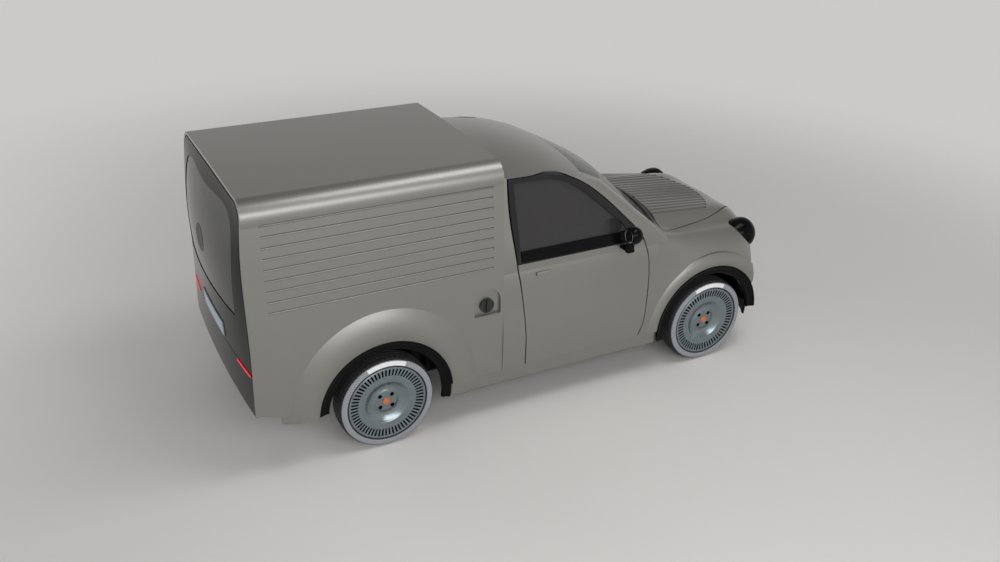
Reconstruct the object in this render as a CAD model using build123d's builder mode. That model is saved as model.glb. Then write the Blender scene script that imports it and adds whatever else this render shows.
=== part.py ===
"""Small panel van: a ribbed cargo box behind a two-seat cab, built as separate panels and running gear.

Millimetres. +X points forward, +Y to the van's left, +Z up. The origin is on the ground under the middle of
the van. The body's outer skin is a few closed forms; each panel is a slice of the wall between the outer form
and the same form drawn further in.
"""

import os

from build123d import *

os.makedirs("parts", exist_ok=True)

# Wheels and stance
wheelbase = 2541.0
rear_axle_x = -1100.0
tyre_radius = 325.0
tyre_width = 165.0
wheel_centre_y = 694.0
rim_radius = 263.0
hub_bore_radius = 22.0
running_clearance = 0.25
arch_radius = 455.0
front_flare_crest = 792.0
front_flare_band = 95.0
front_flare_fall = 28.0
rear_flare_crest = 802.0
rear_flare_band = 225.0
rear_flare_fall = 54.0
arch_lip_radius = 385.0
wing_swell = 18.0
wheel_slots = 60
slot_inner_radius = 199.0
slot_outer_radius = 249.0
slot_width = 9.0
slot_depth = 9.0
stud_circle = 57.0
stud_recess_radius = 13.5
bonnet_flutes = 16
flute_pitch = 50.0
flute_radius = 42.0
flute_depth = 3.2
steer_lock_wall_y = 415.0

# Cargo box
box_front_x = -275.0
box_rear_x = -1912.0
box_height = 1817.0
box_bottom_z = 455.0
box_wall = 35.0
box_corner = 120.0
flank_half_low = 770.0
flank_half_high = 715.0
flank_high_z = 1667.0
roof_seam_y = 560.0
rear_bulge = 108.0
rear_lip = 16.0
tailgate_split_z = 734.0
tailgate_wall = 45.0
groove_count = 9
groove_top_z = 1667.0
groove_bottom_z = 1128.0
groove_depth = 6.0
groove_width = 11.0
groove_rear_x = -1809.0
groove_front_x = -350.0

# Cab
nose_x = 2020.0
nose_end_x = 2005.4
belt_z = 1120.0
cab_roof_z = 1732.0
screen_base_x = 1120.0
screen_run = 1.15
screen_bow = 130.0
green_half_belt = 742.0
green_half_roof = 640.0
cab_wall = 30.0
front_panel = 12.0
door_wall = 70.0
sill_z = 352.0
rocker_bottom_z = 222.0
seam = 7.0
bonnet_front_seam = 12.0
glass_thickness = 5.0

# Floor and running gear
jack_rear_x = -540.0
jack_front_x = 880.0
cab_floor_z = 285.0
firewall_x = 944.0
cargo_floor_z = 500.0
floor_thickness = 40.0
floor_half = 690.0
wheelhouse_inner_y = 560.0

front_axle_x = rear_axle_x + wheelbase
axle_z = tyre_radius


def flank_half(z):
    """Half width of the flat-sided body at height z; the sides lean in, faster towards the top."""
    rise = (z - box_bottom_z) / (flank_high_z - box_bottom_z)
    return flank_half_low - (flank_half_low - flank_half_high) * (0.35 * rise + 0.65 * rise * rise)


# ---------------------------------------------------------------- body forms

def box_form(inset):
    """The cargo box's closed form, its walls drawn in by inset."""
    low_z = rocker_bottom_z - 100.0
    mid_z = (box_bottom_z + flank_high_z) / 2
    with BuildPart() as form:
        with BuildSketch(Plane.YZ.offset(box_rear_x - 300.0)):
            with BuildLine():
                low = (flank_half(box_bottom_z) - inset, low_z)
                mid = (flank_half(mid_z) - inset, mid_z)
                high = (flank_half(flank_high_z) - inset, flank_high_z)
                corner = (high[0] - box_corner * 0.30, box_height - inset - box_corner * 0.30)
                top = (high[0] - box_corner, box_height - inset - 8.0)
                ThreePointArc(low, mid, high)
                ThreePointArc(high, corner, top)
                ThreePointArc(top, (0, box_height - inset), (-top[0], top[1]))
                ThreePointArc((-top[0], top[1]), (-corner[0], corner[1]), (-high[0], high[1]))
                ThreePointArc((-high[0], high[1]), (-mid[0], mid[1]), (-low[0], low[1]))
                Line((-low[0], low[1]), low)
            make_face()
        extrude(amount=box_front_x - box_rear_x + 300.0)
    return form.part


def rear_form(inset):
    """Everything ahead of the crowned rear face; the crown fades towards the roof."""
    half = flank_half_low + 40.0
    rows = [
        (300.0, box_rear_x - 18.0, 0.30),
        (tailgate_split_z, box_rear_x - 14.0, 0.42),
        (1050.0, box_rear_x - 6.0, 0.68),
        (1340.0, box_rear_x, 0.90),
        (1600.0, box_rear_x + 8.0, 0.58),
        (1780.0, box_rear_x + 13.0, 0.10),
        (1900.0, box_rear_x + 14.0, 0.02),
    ]
    with BuildPart() as form:
        for z, edge, share in rows:
            with BuildSketch(Plane.XY.offset(z)):
                with BuildLine():
                    ThreePointArc(
                        (edge + inset, -half),
                        (edge + inset - rear_bulge * share, 0),
                        (edge + inset, half),
                    )
                    Line((edge + inset, half), (box_front_x + 600.0, half))
                    Line((box_front_x + 600.0, half), (box_front_x + 600.0, -half))
                    Line((box_front_x + 600.0, -half), (edge + inset, -half))
                make_face()
        loft()
    return form.part


def nose_section(x, inset):
    """Half of the lower body's section at station x, from its foot up and in, and the height of its crown."""
    low_z = rocker_bottom_z
    nose_share = max(0.0, (x - 1650.0) / (nose_x + 12.0 - 1650.0))
    taper = (1.0 - nose_share**3.2) ** 0.42
    squat = 1.0 - 0.42 * (1.0 - (1.0 - nose_share**3.6) ** 0.5)
    fall = (x - 950.0) / 900.0
    scoop = min(1.0, (x - 950.0) / 250.0) * (1.0 - nose_share**2)
    swell = wing_swell * max(0.0, 1.0 - ((x - front_axle_x) / 491.0) ** 2) ** 2
    crown = 1126.0 - 84.0 * fall
    # half width, height, and how far the inner wall is drawn in sideways and down
    rows = [
        (762.0 + 0.5 * swell, low_z, 1.0, 0.0),
        (772.0 + 10.0 * scoop + swell, 600.0, 1.0, 0.0),
        (755.0 - 37.0 * fall + 0.8 * swell, 890.0 - 60.0 * fall, 1.0, 0.0),
        (744.0 - 14.0 * scoop - 66.0 * fall, 1020.0 - 20.0 * scoop - 90.0 * fall, 0.9, 0.3),
        (716.0 - 34.0 * scoop - 96.0 * fall, 1084.0 - 30.0 * scoop - 100.0 * fall, 0.5, 1.0),
        (610.0 - 30.0 * scoop - 80.0 * fall, 1100.0 - 62.0 * scoop - 70.0 * fall, 0.0, 1.0),
        (440.0 - 10.0 * fall, 1104.0 - 16.0 * scoop - 70.0 * fall, 0.0, 1.0),
        (220.0, crown - 6.0, 0.0, 1.0),
    ]
    half = [
        (y * taper - inset * side, low_z + (z - low_z) * squat - inset * down)
        for y, z, side, down in rows
    ]
    return half, low_z + (crown - low_z) * squat - inset


def nose_form(inset):
    """The lower body from the box to the nose: flanks, wings, valleys and crowned bonnet."""
    stations = [950, 1050, 1150, 1250, 1350, 1450, 1550, 1650, 1740, 1820, 1885, 1935, 1970, 1992, nose_end_x]
    with BuildPart() as form:
        for x in stations:
            half, crown = nose_section(x, inset)
            with BuildSketch(Plane.YZ.offset(x - inset)):
                with BuildLine():
                    others = [(-y, z) for y, z in reversed(half)]
                    Spline(*half, (0, crown), *others)
                    Line(others[-1], half[0])
                make_face()
        loft()
        extrude(faces().sort_by(Axis.X)[0], amount=stations[0] - inset - box_front_x)
    return form.part


def bonnet_height(x, y):
    """Height of the outer skin over the bonnet at x, y."""
    half, crown = nose_section(x, 0)
    with BuildLine() as section:
        Spline(*half, (0, crown), *[(-y, z) for y, z in reversed(half)])
    low = 0.25
    high = 0.5
    for _ in range(24):
        middle = (low + high) / 2
        if section.edges()[0].position_at(middle).X > abs(y):
            low = middle
        else:
            high = middle
    return section.edges()[0].position_at(low).Y


def green_form(inset):
    """The cab's upper form: side glass leaning in, wrapped windscreen and crowned roof."""
    heights = [890.0, 1040.0, 1190.0, 1340.0, 1490.0, 1640.0, 1790.0]
    with BuildPart() as form:
        for z in heights:
            rise = (z - belt_z) / (cab_roof_z - 70.0 - belt_z)
            half = min(green_half_belt + (green_half_roof - green_half_belt) * rise, 736.0) - inset
            corner_x = screen_base_x - 130.0 - screen_run * (z - belt_z) - inset
            corner_y = half - 62.0
            side_x = corner_x - 300.0
            bow_radius = (corner_y**2 + screen_bow**2) / (2 * screen_bow)
            lean = bow_radius - screen_bow
            with BuildSketch(Plane.XY.offset(z)):
                with BuildLine():
                    Spline((side_x, half), (corner_x, corner_y), tangents=[(1, 0), (corner_y, -lean)])
                    ThreePointArc((corner_x, corner_y), (corner_x + screen_bow, 0), (corner_x, -corner_y))
                    Spline((corner_x, -corner_y), (side_x, -half), tangents=[(-corner_y, -lean), (-1, 0)])
                    Line((side_x, -half), (box_front_x - 400.0, -half))
                    Line((box_front_x - 400.0, -half), (box_front_x - 400.0, half))
                    Line((box_front_x - 400.0, half), (side_x, half))
                make_face()
        loft()
    roof_rows = [
        (box_front_x - 400.0, -6.0),
        (box_front_x, 0.0),
        (-100.0, 4.0),
        (80.0, 18.0),
        (260.0, 52.0),
        (440.0, 112.0),
        (620.0, 200.0),
        (800.0, 305.0),
        (980.0, 420.0),
        (1160.0, 540.0),
        (1340.0, 660.0),
    ]
    with BuildPart() as crown:
        for x, drop in roof_rows:
            top = cab_roof_z - drop - inset
            with BuildSketch(Plane.YZ.offset(x)):
                with BuildLine():
                    ThreePointArc((-800, top - 95.0), (0, top), (800, top - 95.0))
                    Line((800, top - 95.0), (800, 400.0))
                    Line((800, 400.0), (-800, 400.0))
                    Line((-800, 400.0), (-800, top - 95.0))
                make_face()
        loft()
    with BuildPart() as cab:
        add(form.part)
        add(crown.part, mode=Mode.INTERSECT)
        split(bisect_by=Plane.YZ.offset(box_front_x), keep=Keep.TOP)
    return cab.part


def mirrored(piece):
    """The same piece on the other side of the van."""
    with BuildPart() as other:
        mirror(piece, about=Plane.XZ, mode=Mode.REPLACE)
    return other.part


def prism(outline, direction=(0, -1, 0), reach=700.0):
    """A drawn profile pushed out into a cutter, to the van's right unless told otherwise."""
    with BuildPart() as block:
        extrude(outline, amount=reach, dir=direction)
    return block.part


def body_of(piece):
    """The piece itself, without the offcuts that its cuts leave."""
    with BuildPart() as kept:
        add(piece.solids().sort_by(SortBy.VOLUME)[-1])
    return kept.part


# ---------------------------------------------------------------- shared outlines (X-Z, right side)

side_plane = Plane.XZ.offset(250.0)
door_inner_y = 602.0
rear_door_seam = 10.0


def door_outline(grow, start_y):
    """The door's side outline from start_y outwards, each edge moved out by grow."""
    g = grow
    r = grow * rear_door_seam / seam
    with BuildSketch(Plane.XZ.offset(start_y)) as sketch:
        with BuildLine():
            Spline(
                (815 + g, sill_z - g),
                (853 + g, 440),
                (869 + g, 600),
                (877 + g, 780),
                (866 + g, 935),
                (830 + g, 1070),
                (765 + 0.8 * g, 1178 + 0.6 * g),
            )
            Spline(
                (765 + 0.8 * g, 1178 + 0.6 * g),
                (600 + 0.7 * g, 1345 + 0.7 * g),
                (430 + 0.7 * g, 1500 + 0.7 * g),
                (260 + 0.5 * g, 1608 + 0.9 * g),
                (60, 1656 + g),
            )
            Line((60, 1656 + g), (-205 - r, 1662 + g))
            Spline((-205 - r, 1662 + g), (-168 - r, 1133), (-126 - g, 846), (-98 - g, 560))
            Line((-98 - g, 560), (-96 - g, sill_z - g))
            Line((-96 - g, sill_z - g), (815 + g, sill_z - g))
        make_face()
    return sketch.sketch


def window_outline():
    """The door's glass."""
    with BuildSketch(side_plane) as sketch:
        with BuildLine():
            Line((-172, 1630), (-140, 1108))
            Line((-140, 1108), (722, 1102))
            Spline((722, 1102), (690, 1180), (560, 1318), (400, 1460), (240, 1572), (60, 1626))
            Line((60, 1626), (-172, 1630))
        make_face()
    return sketch.sketch


def flank_outline():
    """The box side below its roof seam, with its lower edge rising behind the wheel."""
    with BuildSketch(Plane.XZ) as sketch:
        with BuildLine():
            Polyline(
                (box_rear_x - 200, box_bottom_z + 8),
                (box_rear_x + 12, box_bottom_z),
                (box_rear_x + 172, 405),
                (rear_axle_x - 440, sill_z),
                (box_front_x, sill_z),
                (box_front_x, box_height + 50),
                (box_rear_x - 200, box_height + 50),
                close=True,
            )
        make_face()
    return sketch.sketch


def arch_ring(axle_x, crest, band, fall):
    """A flare round one right-hand wheel arch: turned in at the opening, crowned, then fading into the side."""
    with BuildPart() as ring:
        with BuildSketch(Plane.XY.offset(axle_z)):
            with BuildLine():
                foot = axle_x + arch_radius
                Spline(
                    (foot, -crest + 0.3 * fall),
                    (foot + 0.15 * band, -crest + 0.06 * fall),
                    (foot + 0.3 * band, -crest),
                    (foot + 0.5 * band, -crest + 0.12 * fall),
                    (foot + 0.75 * band, -crest + 0.5 * fall),
                    (foot + band, -crest + fall),
                )
                Line((foot + band, -crest + fall), (foot + band, -crest + 2.5 * fall))
                Line((foot + band, -crest + 2.5 * fall), (foot, -crest + 2.5 * fall))
                Line((foot, -crest + 2.5 * fall), (foot, -crest + 0.3 * fall))
            make_face()
        revolve(axis=Axis((axle_x, 0, axle_z), (0, 1, 0)))
    return ring.part


def arch_plug(axle_x, radius, low_y, high_y):
    """A cylinder across the van at one axle, between two distances from the centre, on the right."""
    with BuildPart() as plug:
        with BuildSketch(Plane.XZ.offset(low_y)):
            with Locations((axle_x, axle_z)):
                Circle(radius)
        extrude(amount=high_y - low_y)
    return plug.part


def cab_form(inset):
    """Lower body and upper cab together."""
    with BuildPart() as cab:
        add(nose_form(inset))
        add(green_form(inset))
    return cab.part


# ---------------------------------------------------------------- cargo box

rear_skin = rear_form(0)
box_inside = box_form(box_wall)
rear_reach = box_rear_x + 80.0

with BuildPart() as box_skin:
    add(box_form(0))
    add(rear_skin, mode=Mode.INTERSECT)

with BuildPart() as rebate:
    add(box_form(rear_lip))
    split(bisect_by=Plane.YZ.offset(rear_reach), keep=Keep.BOTTOM)

with BuildPart() as box_shell:
    add(box_skin.part)
    add(box_inside, mode=Mode.SUBTRACT)
    add(rebate.part, mode=Mode.SUBTRACT)

with BuildPart() as rear_flare:
    add(arch_ring(rear_axle_x, rear_flare_crest, rear_flare_band, rear_flare_fall))
    add(box_inside, mode=Mode.SUBTRACT)
    split(bisect_by=Plane.XY.offset(sill_z), keep=Keep.TOP)
    split(bisect_by=Plane.YZ.offset(box_front_x), keep=Keep.BOTTOM)

with BuildPart() as box_side:
    add(box_shell.part)
    split(bisect_by=Plane.XZ.offset(roof_seam_y), keep=Keep.TOP)
    with BuildSketch(Plane.XZ) as flank_sketch:
        add(flank_outline())
    extrude(amount=1000.0, mode=Mode.INTERSECT)
    add(rear_flare.part)
    add(arch_plug(rear_axle_x, arch_radius, 500.0, 900.0), mode=Mode.SUBTRACT)
    groove_length = groove_front_x - groove_rear_x
    for row in range(groove_count):
        z = groove_bottom_z + (groove_top_z - groove_bottom_z) * row / (groove_count - 1)
        radius = groove_width / 2 + 1.5
        with Locations(((groove_front_x + groove_rear_x) / 2, -flank_half(z) - radius + groove_depth, z)):
            Cylinder(radius, groove_length, rotation=(0, 90, 0), mode=Mode.SUBTRACT)

with BuildPart() as box_side_left:
    add(mirrored(box_side.part))

with BuildPart() as box_side_right:
    add(box_side.part)
    with BuildSketch(Plane.XZ.offset(flank_half_low - 30.0)):
        with BuildLine():
            Line((-486, 795), (-296, 795))
            Line((-296, 795), (-296, 889))
            ThreePointArc((-296, 889), (-391, 984), (-486, 889))
            Line((-486, 889), (-486, 795))
        make_face()
    extrude(amount=100.0, mode=Mode.SUBTRACT)

with BuildPart() as box_roof:
    add(box_shell.part)
    with BuildSketch(Plane.XY.offset(box_height - 120.0)):
        with Locations(((box_front_x + box_rear_x) / 2 - 100.0, 0)):
            Rectangle(box_front_x - box_rear_x + 200.0, 2 * roof_seam_y)
    extrude(amount=300.0, mode=Mode.INTERSECT)

with BuildPart() as bulkhead:
    add(box_inside)
    with BuildSketch(Plane.YZ.offset(box_front_x - 30.0)):
        with Locations((0, (cargo_floor_z + box_height) / 2)):
            Rectangle(1700.0, box_height - cargo_floor_z)
    extrude(amount=30.0, mode=Mode.INTERSECT)


# ---------------------------------------------------------------- rear end

hinge_z = box_height - rear_lip - 9.0 - 16.0
tailgate_axis = (box_rear_x + 16.0, 0.0, hinge_z)


def tailgate_window():
    """The tailgate's glass seen from behind."""
    low = 1060.0
    with BuildSketch(Plane.YZ.offset(box_rear_x + 300.0)) as sketch:
        with BuildLine():
            side = [(560, low), (590, 1350), (560, 1640)]
            Spline(*[(-y, z) for y, z in side], (0, 1690), *reversed(side))
            Line(side[0], (-side[0][0], low))
        make_face()
    return sketch.sketch


with BuildPart() as rear_wall:
    add(rear_skin)
    add(rear_form(tailgate_wall), mode=Mode.SUBTRACT)

with BuildPart() as tailgate:
    add(rear_wall.part)
    add(box_form(rear_lip + 9.0), mode=Mode.INTERSECT)
    split(bisect_by=Plane.XY.offset(tailgate_split_z + seam), keep=Keep.TOP)
    add(prism(tailgate_window(), (-1, 0, 0)), mode=Mode.SUBTRACT)

with BuildPart() as tailgate_glass:
    add(rear_form(4.0))
    add(rear_form(4.0 + glass_thickness), mode=Mode.SUBTRACT)
    add(prism(tailgate_window(), (-1, 0, 0)), mode=Mode.INTERSECT)

with BuildPart() as rear_bumper:
    add(rear_wall.part)
    add(box_form(rear_lip), mode=Mode.INTERSECT)
    split(bisect_by=Plane.XY.offset(tailgate_split_z), keep=Keep.BOTTOM)
    split(bisect_by=Plane.XY.offset(box_bottom_z), keep=Keep.TOP)


# ---------------------------------------------------------------- cab skins

cab_outer = cab_form(0)
nose_inner = nose_form(cab_wall)
door_inner = cab_form(door_wall)
panel_inner = nose_form(front_panel)
green_inner = green_form(cab_wall)

screen_low_z = 1128.0
screen_high_z = 1598.0


def screen_outline(shrink):
    """The windscreen seen from ahead."""
    low = screen_low_z + shrink
    high = screen_high_z - shrink
    with BuildSketch(Plane.YZ.offset(250.0)) as sketch:
        with BuildLine():
            Spline((-650 + shrink, low), (-630 + shrink, 1330), (-560 + shrink, high))
            ThreePointArc((-560 + shrink, high), (0, high + 32), (560 - shrink, high))
            Spline((560 - shrink, high), (630 - shrink, 1330), (650 - shrink, low))
            Line((650 - shrink, low), (-650 + shrink, low))
        make_face()
    return sketch.sketch


def bonnet_outline(grow, front_grow):
    """The bonnet seen from above: bowed rear edge, sides drawing in to a rounded front."""
    rear = 1068 - grow
    front = front_grow
    with BuildSketch(Plane.XY.offset(600.0)) as sketch:
        with BuildLine():
            ThreePointArc((rear, 598 + grow), (rear + 118, 0), (rear, -598 - grow))
            Spline((rear, -598 - grow), (1400, -505 - grow), (1720, -425 - grow), (1880 + front, -330 - grow))
            ThreePointArc((1880 + front, -330 - grow), (1946 + front, 0), (1880 + front, 330 + grow))
            Spline((1880 + front, 330 + grow), (1720, 425 + grow), (1400, 505 + grow), (rear, 598 + grow))
        make_face()
    return sketch.sketch


with BuildPart() as cab_shell:
    add(cab_outer)
    add(nose_inner, mode=Mode.SUBTRACT)
    add(green_inner, mode=Mode.SUBTRACT)

with BuildPart() as door_block:
    add(cab_outer)
    add(door_inner, mode=Mode.SUBTRACT)

with BuildPart() as door:
    add(door_block.part)
    add(prism(door_outline(0, door_inner_y)), mode=Mode.INTERSECT)
    add(prism(window_outline()), mode=Mode.SUBTRACT)

with BuildPart() as door_glass:
    add(green_form(14.0))
    add(green_form(14.0 + glass_thickness), mode=Mode.SUBTRACT)
    add(prism(window_outline()), mode=Mode.INTERSECT)

door_gap = prism(door_outline(seam, door_inner_y - rear_door_seam))

hinge_x = 785.0
hinge_y = flank_half_low - 18.0
nose_seam_x = 1830.0
wing_top_z = 1090.0
wing_rear_x = 790.0
cowl_rear_x = 1012.0
cowl_half = 606.0
lamp_centre = (1822.0, -564.0, 887.0)
lamp_radius = 118.0

with BuildPart() as upper_cab:
    add(cab_shell.part)
    split(bisect_by=Plane.YZ.offset(cowl_rear_x), keep=Keep.BOTTOM)
    split(bisect_by=Plane.XY.offset(sill_z), keep=Keep.TOP)
    with BuildSketch(Plane.XZ.offset(-1000.0)):
        with BuildLine():
            Polyline((wing_rear_x, 0), (2200, 0), (2200, wing_top_z), (wing_rear_x, wing_top_z), close=True)
        make_face()
    extrude(amount=2000.0, mode=Mode.SUBTRACT)
    add(door_gap, mode=Mode.SUBTRACT)
    add(mirrored(door_gap), mode=Mode.SUBTRACT)
    add(prism(screen_outline(0), (1, 0, 0), 1500.0), mode=Mode.SUBTRACT)

with BuildPart() as windscreen:
    add(green_form(5.0))
    add(green_form(5.0 + glass_thickness), mode=Mode.SUBTRACT)
    add(prism(screen_outline(0), (1, 0, 0), 1500.0), mode=Mode.INTERSECT)

bonnet_gap = prism(bonnet_outline(seam, bonnet_front_seam), (0, 0, 1), 700.0)


def lamp_pod(shrink):
    """One right-hand teardrop lamp body."""
    x, y, z = lamp_centre
    radius = lamp_radius - shrink
    with BuildPart() as pod:
        with BuildSketch(Plane.XY.offset(z)):
            with BuildLine():
                Line((x - 175, y), (x + 92, y))
                Line((x + 92, y), (x + 92, y + 0.74 * radius))
                Spline(
                    (x + 92, y + 0.74 * radius),
                    (x + 60, y + 0.95 * radius),
                    (x + 10, y + radius),
                    (x - 70, y + 0.82 * radius),
                    (x - 140, y + 0.42 * radius),
                    (x - 175, y),
                )
            make_face()
        revolve(axis=Axis((x, y, z), (1, 0, 0)))
    return pod.part


def grille_outline(shrink):
    """The dark panel between the lamps, seen from ahead."""
    with BuildSketch(Plane.YZ.offset(1600.0)) as sketch:
        with Locations((0, 836)):
            RectangleRounded(2 * (470.0 - shrink), 2 * (34.0 - shrink), 30.0 - shrink)
    return sketch.sketch


with BuildPart() as front_shell:
    add(cab_outer)
    add(panel_inner, mode=Mode.SUBTRACT)
    add(green_inner, mode=Mode.SUBTRACT)
    with BuildSketch(Plane.XZ.offset(-1000.0)):
        with BuildLine():
            Polyline(
                (wing_rear_x, sill_z),
                (front_axle_x, sill_z),
                (front_axle_x, 235),
                (2200, 235),
                (2200, 1300),
                (cowl_rear_x, 1300),
                (cowl_rear_x, wing_top_z),
                (wing_rear_x, wing_top_z),
                close=True,
            )
        make_face()
    extrude(amount=2000.0, mode=Mode.INTERSECT)
    add(prism(screen_outline(0), (1, 0, 0), 1500.0), mode=Mode.SUBTRACT)



def cowl_zone(reach):
    """The strip under the windscreen, its bowed front edge moved forward of the bonnet's rear edge by reach."""
    x = 1068.0 + reach
    with BuildPart() as zone:
        with BuildSketch(Plane.XY.offset(900.0)):
            with BuildLine():
                Polyline((x, 598), (x, cowl_half), (cowl_rear_x, cowl_half), (cowl_rear_x, -cowl_half), (x, -cowl_half), (x, -598))
                ThreePointArc((x, -598), (x + 118.0, 0), (x, 598))
            make_face()
        extrude(amount=300.0)
    return zone.part


with BuildPart() as cowl:
    add(cab_outer)
    add(panel_inner, mode=Mode.SUBTRACT)
    add(cowl_zone(-seam), mode=Mode.INTERSECT)
    split(bisect_by=Plane.XY.offset(screen_low_z), keep=Keep.BOTTOM)

with BuildPart() as bonnet:
    add(front_shell.part)
    add(prism(bonnet_outline(0, 0), (0, 0, 1), 700.0), mode=Mode.INTERSECT)

flute_rear_x = 1040.0
flute_front_x = 1800.0
with BuildPart() as fluted_bonnet:
    add(bonnet.part)
    for row in range(bonnet_flutes):
        y = (row - (bonnet_flutes - 1) / 2) * flute_pitch
        reach = flute_front_x - 0.0011 * y * y
        rear = Vector(flute_rear_x, y, bonnet_height(flute_rear_x, y) + flute_radius - flute_depth)
        front = Vector(reach, y, bonnet_height(reach, y) + flute_radius - flute_depth)
        with BuildSketch(Plane(origin=rear, z_dir=front - rear, x_dir=(0, 1, 0))):
            Circle(flute_radius)
        extrude(amount=(front - rear).length, mode=Mode.SUBTRACT)

with BuildPart() as front_flare:
    add(arch_ring(front_axle_x, front_flare_crest, front_flare_band, front_flare_fall))
    add(panel_inner, mode=Mode.SUBTRACT)
    split(bisect_by=Plane.XY.offset(sill_z), keep=Keep.TOP)
    split(bisect_by=Plane.YZ.offset(nose_seam_x), keep=Keep.BOTTOM)

with BuildPart() as wing:
    add(front_shell.part)
    split(bisect_by=Plane.XZ, keep=Keep.TOP)
    split(bisect_by=Plane.YZ.offset(nose_seam_x), keep=Keep.BOTTOM)
    add(front_flare.part)
    add(door_gap, mode=Mode.SUBTRACT)
    add(bonnet_gap, mode=Mode.SUBTRACT)
    add(cowl_zone(20.0), mode=Mode.SUBTRACT)
    add(arch_plug(front_axle_x, arch_radius, 300.0, 900.0), mode=Mode.SUBTRACT)
    add(lamp_pod(0), mode=Mode.SUBTRACT)

with BuildPart() as nose_panel:
    add(front_shell.part)
    split(bisect_by=Plane.YZ.offset(nose_seam_x), keep=Keep.TOP)
    add(bonnet_gap, mode=Mode.SUBTRACT)
    add(prism(grille_outline(0), (1, 0, 0), 600.0), mode=Mode.SUBTRACT)
    add(lamp_pod(0), mode=Mode.SUBTRACT)
    add(mirrored(lamp_pod(0)), mode=Mode.SUBTRACT)
    add(arch_plug(front_axle_x, arch_radius, 300.0, 900.0), mode=Mode.SUBTRACT)
    add(mirrored(arch_plug(front_axle_x, arch_radius, 300.0, 900.0)), mode=Mode.SUBTRACT)

with BuildPart() as grille:
    add(nose_form(10.0))
    add(nose_form(24.0), mode=Mode.SUBTRACT)
    add(prism(grille_outline(0), (1, 0, 0), 600.0), mode=Mode.INTERSECT)
    for row in (-1, 0, 1):
        with Locations((1900.0, 0, 836.0 + row * 16.0)):
            Box(600.0, 800.0, 7.0, mode=Mode.SUBTRACT)


# ---------------------------------------------------------------- hinges

hinge_heights = (470.0, 700.0)
hinge_pocket = 44.0
hinge_leaf = 30.0
eye_radius = 8.0
pin_radius = 3.8
post_x = 896.0


def door_pockets():
    """Room in the right door's front edge for its two hinge arms."""
    with BuildPart() as pockets:
        for z in hinge_heights:
            with Locations((hinge_x + 55.0, -hinge_y + 52.0, z)):
                Box(140.0, 128.0, hinge_pocket)
    return pockets.part


def door_pins():
    """The pins that the door turns on."""
    with BuildPart() as pins:
        for z in hinge_heights:
            with Locations((hinge_x, -hinge_y, z)):
                Cylinder(pin_radius, hinge_pocket)
    return pins.part


with BuildPart() as hinge_post:
    post_depth = firewall_x - 30.3 - post_x
    with Locations((post_x + post_depth / 2, -658.0, (cab_floor_z + 0.3 + screen_low_z) / 2)):
        Box(post_depth, 63.4, screen_low_z - cab_floor_z - 0.3)
    with Locations((post_x + post_depth / 2, -664.0, (sill_z + 0.3 + 780.0) / 2)):
        Box(post_depth, 76.0, 780.0 - sill_z - 0.3)
    with Locations((post_x + post_depth / 2, -680.0, (wing_top_z + 0.3 + screen_low_z) / 2)):
        Box(post_depth, 90.0, screen_low_z - wing_top_z - 0.3)
    for z in hinge_heights:
        with BuildSketch(Plane.XY.offset(z - hinge_leaf / 2)):
            with BuildLine():
                x0 = hinge_x
                y0 = -hinge_y
                Polyline((x0 - 5, y0), (x0 + 5, y0), (x0 + 5, y0 + 82), (post_x + 5, y0 + 82), (post_x + 5, y0 + 94), (x0 - 5, y0 + 94), close=True)
            make_face()
            with Locations((hinge_x, -hinge_y)):
                Circle(eye_radius)
                Circle(pin_radius + running_clearance, mode=Mode.SUBTRACT)
        extrude(amount=hinge_leaf)

bonnet_axis = (1951.0, 0.0, 944.0)
knuckle_radius = 4.5
bonnet_pin_radius = 2.5
bonnet_knuckle_half = 28.0
bonnet_lug_width = 22.0

with BuildPart() as bonnet_lid:
    add(fluted_bonnet.part)
    with BuildSketch(Plane.XZ.offset(-bonnet_knuckle_half)):
        with Locations((bonnet_axis[0], bonnet_axis[2])):
            Circle(knuckle_radius)
        with Locations((bonnet_axis[0] - 7.0, bonnet_axis[2] + 1.0)):
            Rectangle(14.0, 9.0)
    extrude(amount=2 * bonnet_knuckle_half)
    with Locations((bonnet_axis[0], 0, bonnet_axis[2])):
        Cylinder(bonnet_pin_radius, 2 * (bonnet_knuckle_half + bonnet_lug_width), rotation=(90, 0, 0))

with BuildPart() as nose_front:
    add(body_of(nose_panel.part))
    for side in (-1, 1):
        with BuildSketch(Plane.XZ.offset(side * (bonnet_knuckle_half + 0.5 + bonnet_lug_width / 2) - bonnet_lug_width / 2)):
            with Locations((bonnet_axis[0], bonnet_axis[2])):
                Circle(knuckle_radius)
            with Locations((bonnet_axis[0] + 9.0, bonnet_axis[2] - 5.0)):
                Rectangle(18.0, 9.0, rotation=-30.0)
            with Locations((bonnet_axis[0], bonnet_axis[2])):
                Circle(bonnet_pin_radius + running_clearance, mode=Mode.SUBTRACT)
        extrude(amount=bonnet_lug_width)

tailgate_hinge_y = 400.0

with BuildPart() as tailgate_lid:
    add(tailgate.part)
    for y in (-tailgate_hinge_y, tailgate_hinge_y):
        with Locations((tailgate_axis[0] + 26.4, y, hinge_z + 11.0)):
            Box(68.0, hinge_pocket, 42.0, mode=Mode.SUBTRACT)
        with Locations((tailgate_axis[0], y, hinge_z)):
            Cylinder(2.8, hinge_pocket, rotation=(90, 0, 0))

with BuildPart() as roof_panel:
    add(box_roof.part)
    for y in (-tailgate_hinge_y, tailgate_hinge_y):
        with BuildSketch(Plane.XZ.offset(y - hinge_leaf / 2)):
            x = tailgate_axis[0]
            with BuildLine():
                Polyline((x, hinge_z - 5), (x + 90, hinge_z - 16), (x + 90, hinge_z + 5), (x, hinge_z + 5), close=True)
            make_face()
            with Locations((x, hinge_z)):
                Circle(5.4)
                Circle(2.8 + running_clearance, mode=Mode.SUBTRACT)
        extrude(amount=hinge_leaf)

# ---------------------------------------------------------------- floor and running gear

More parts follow.
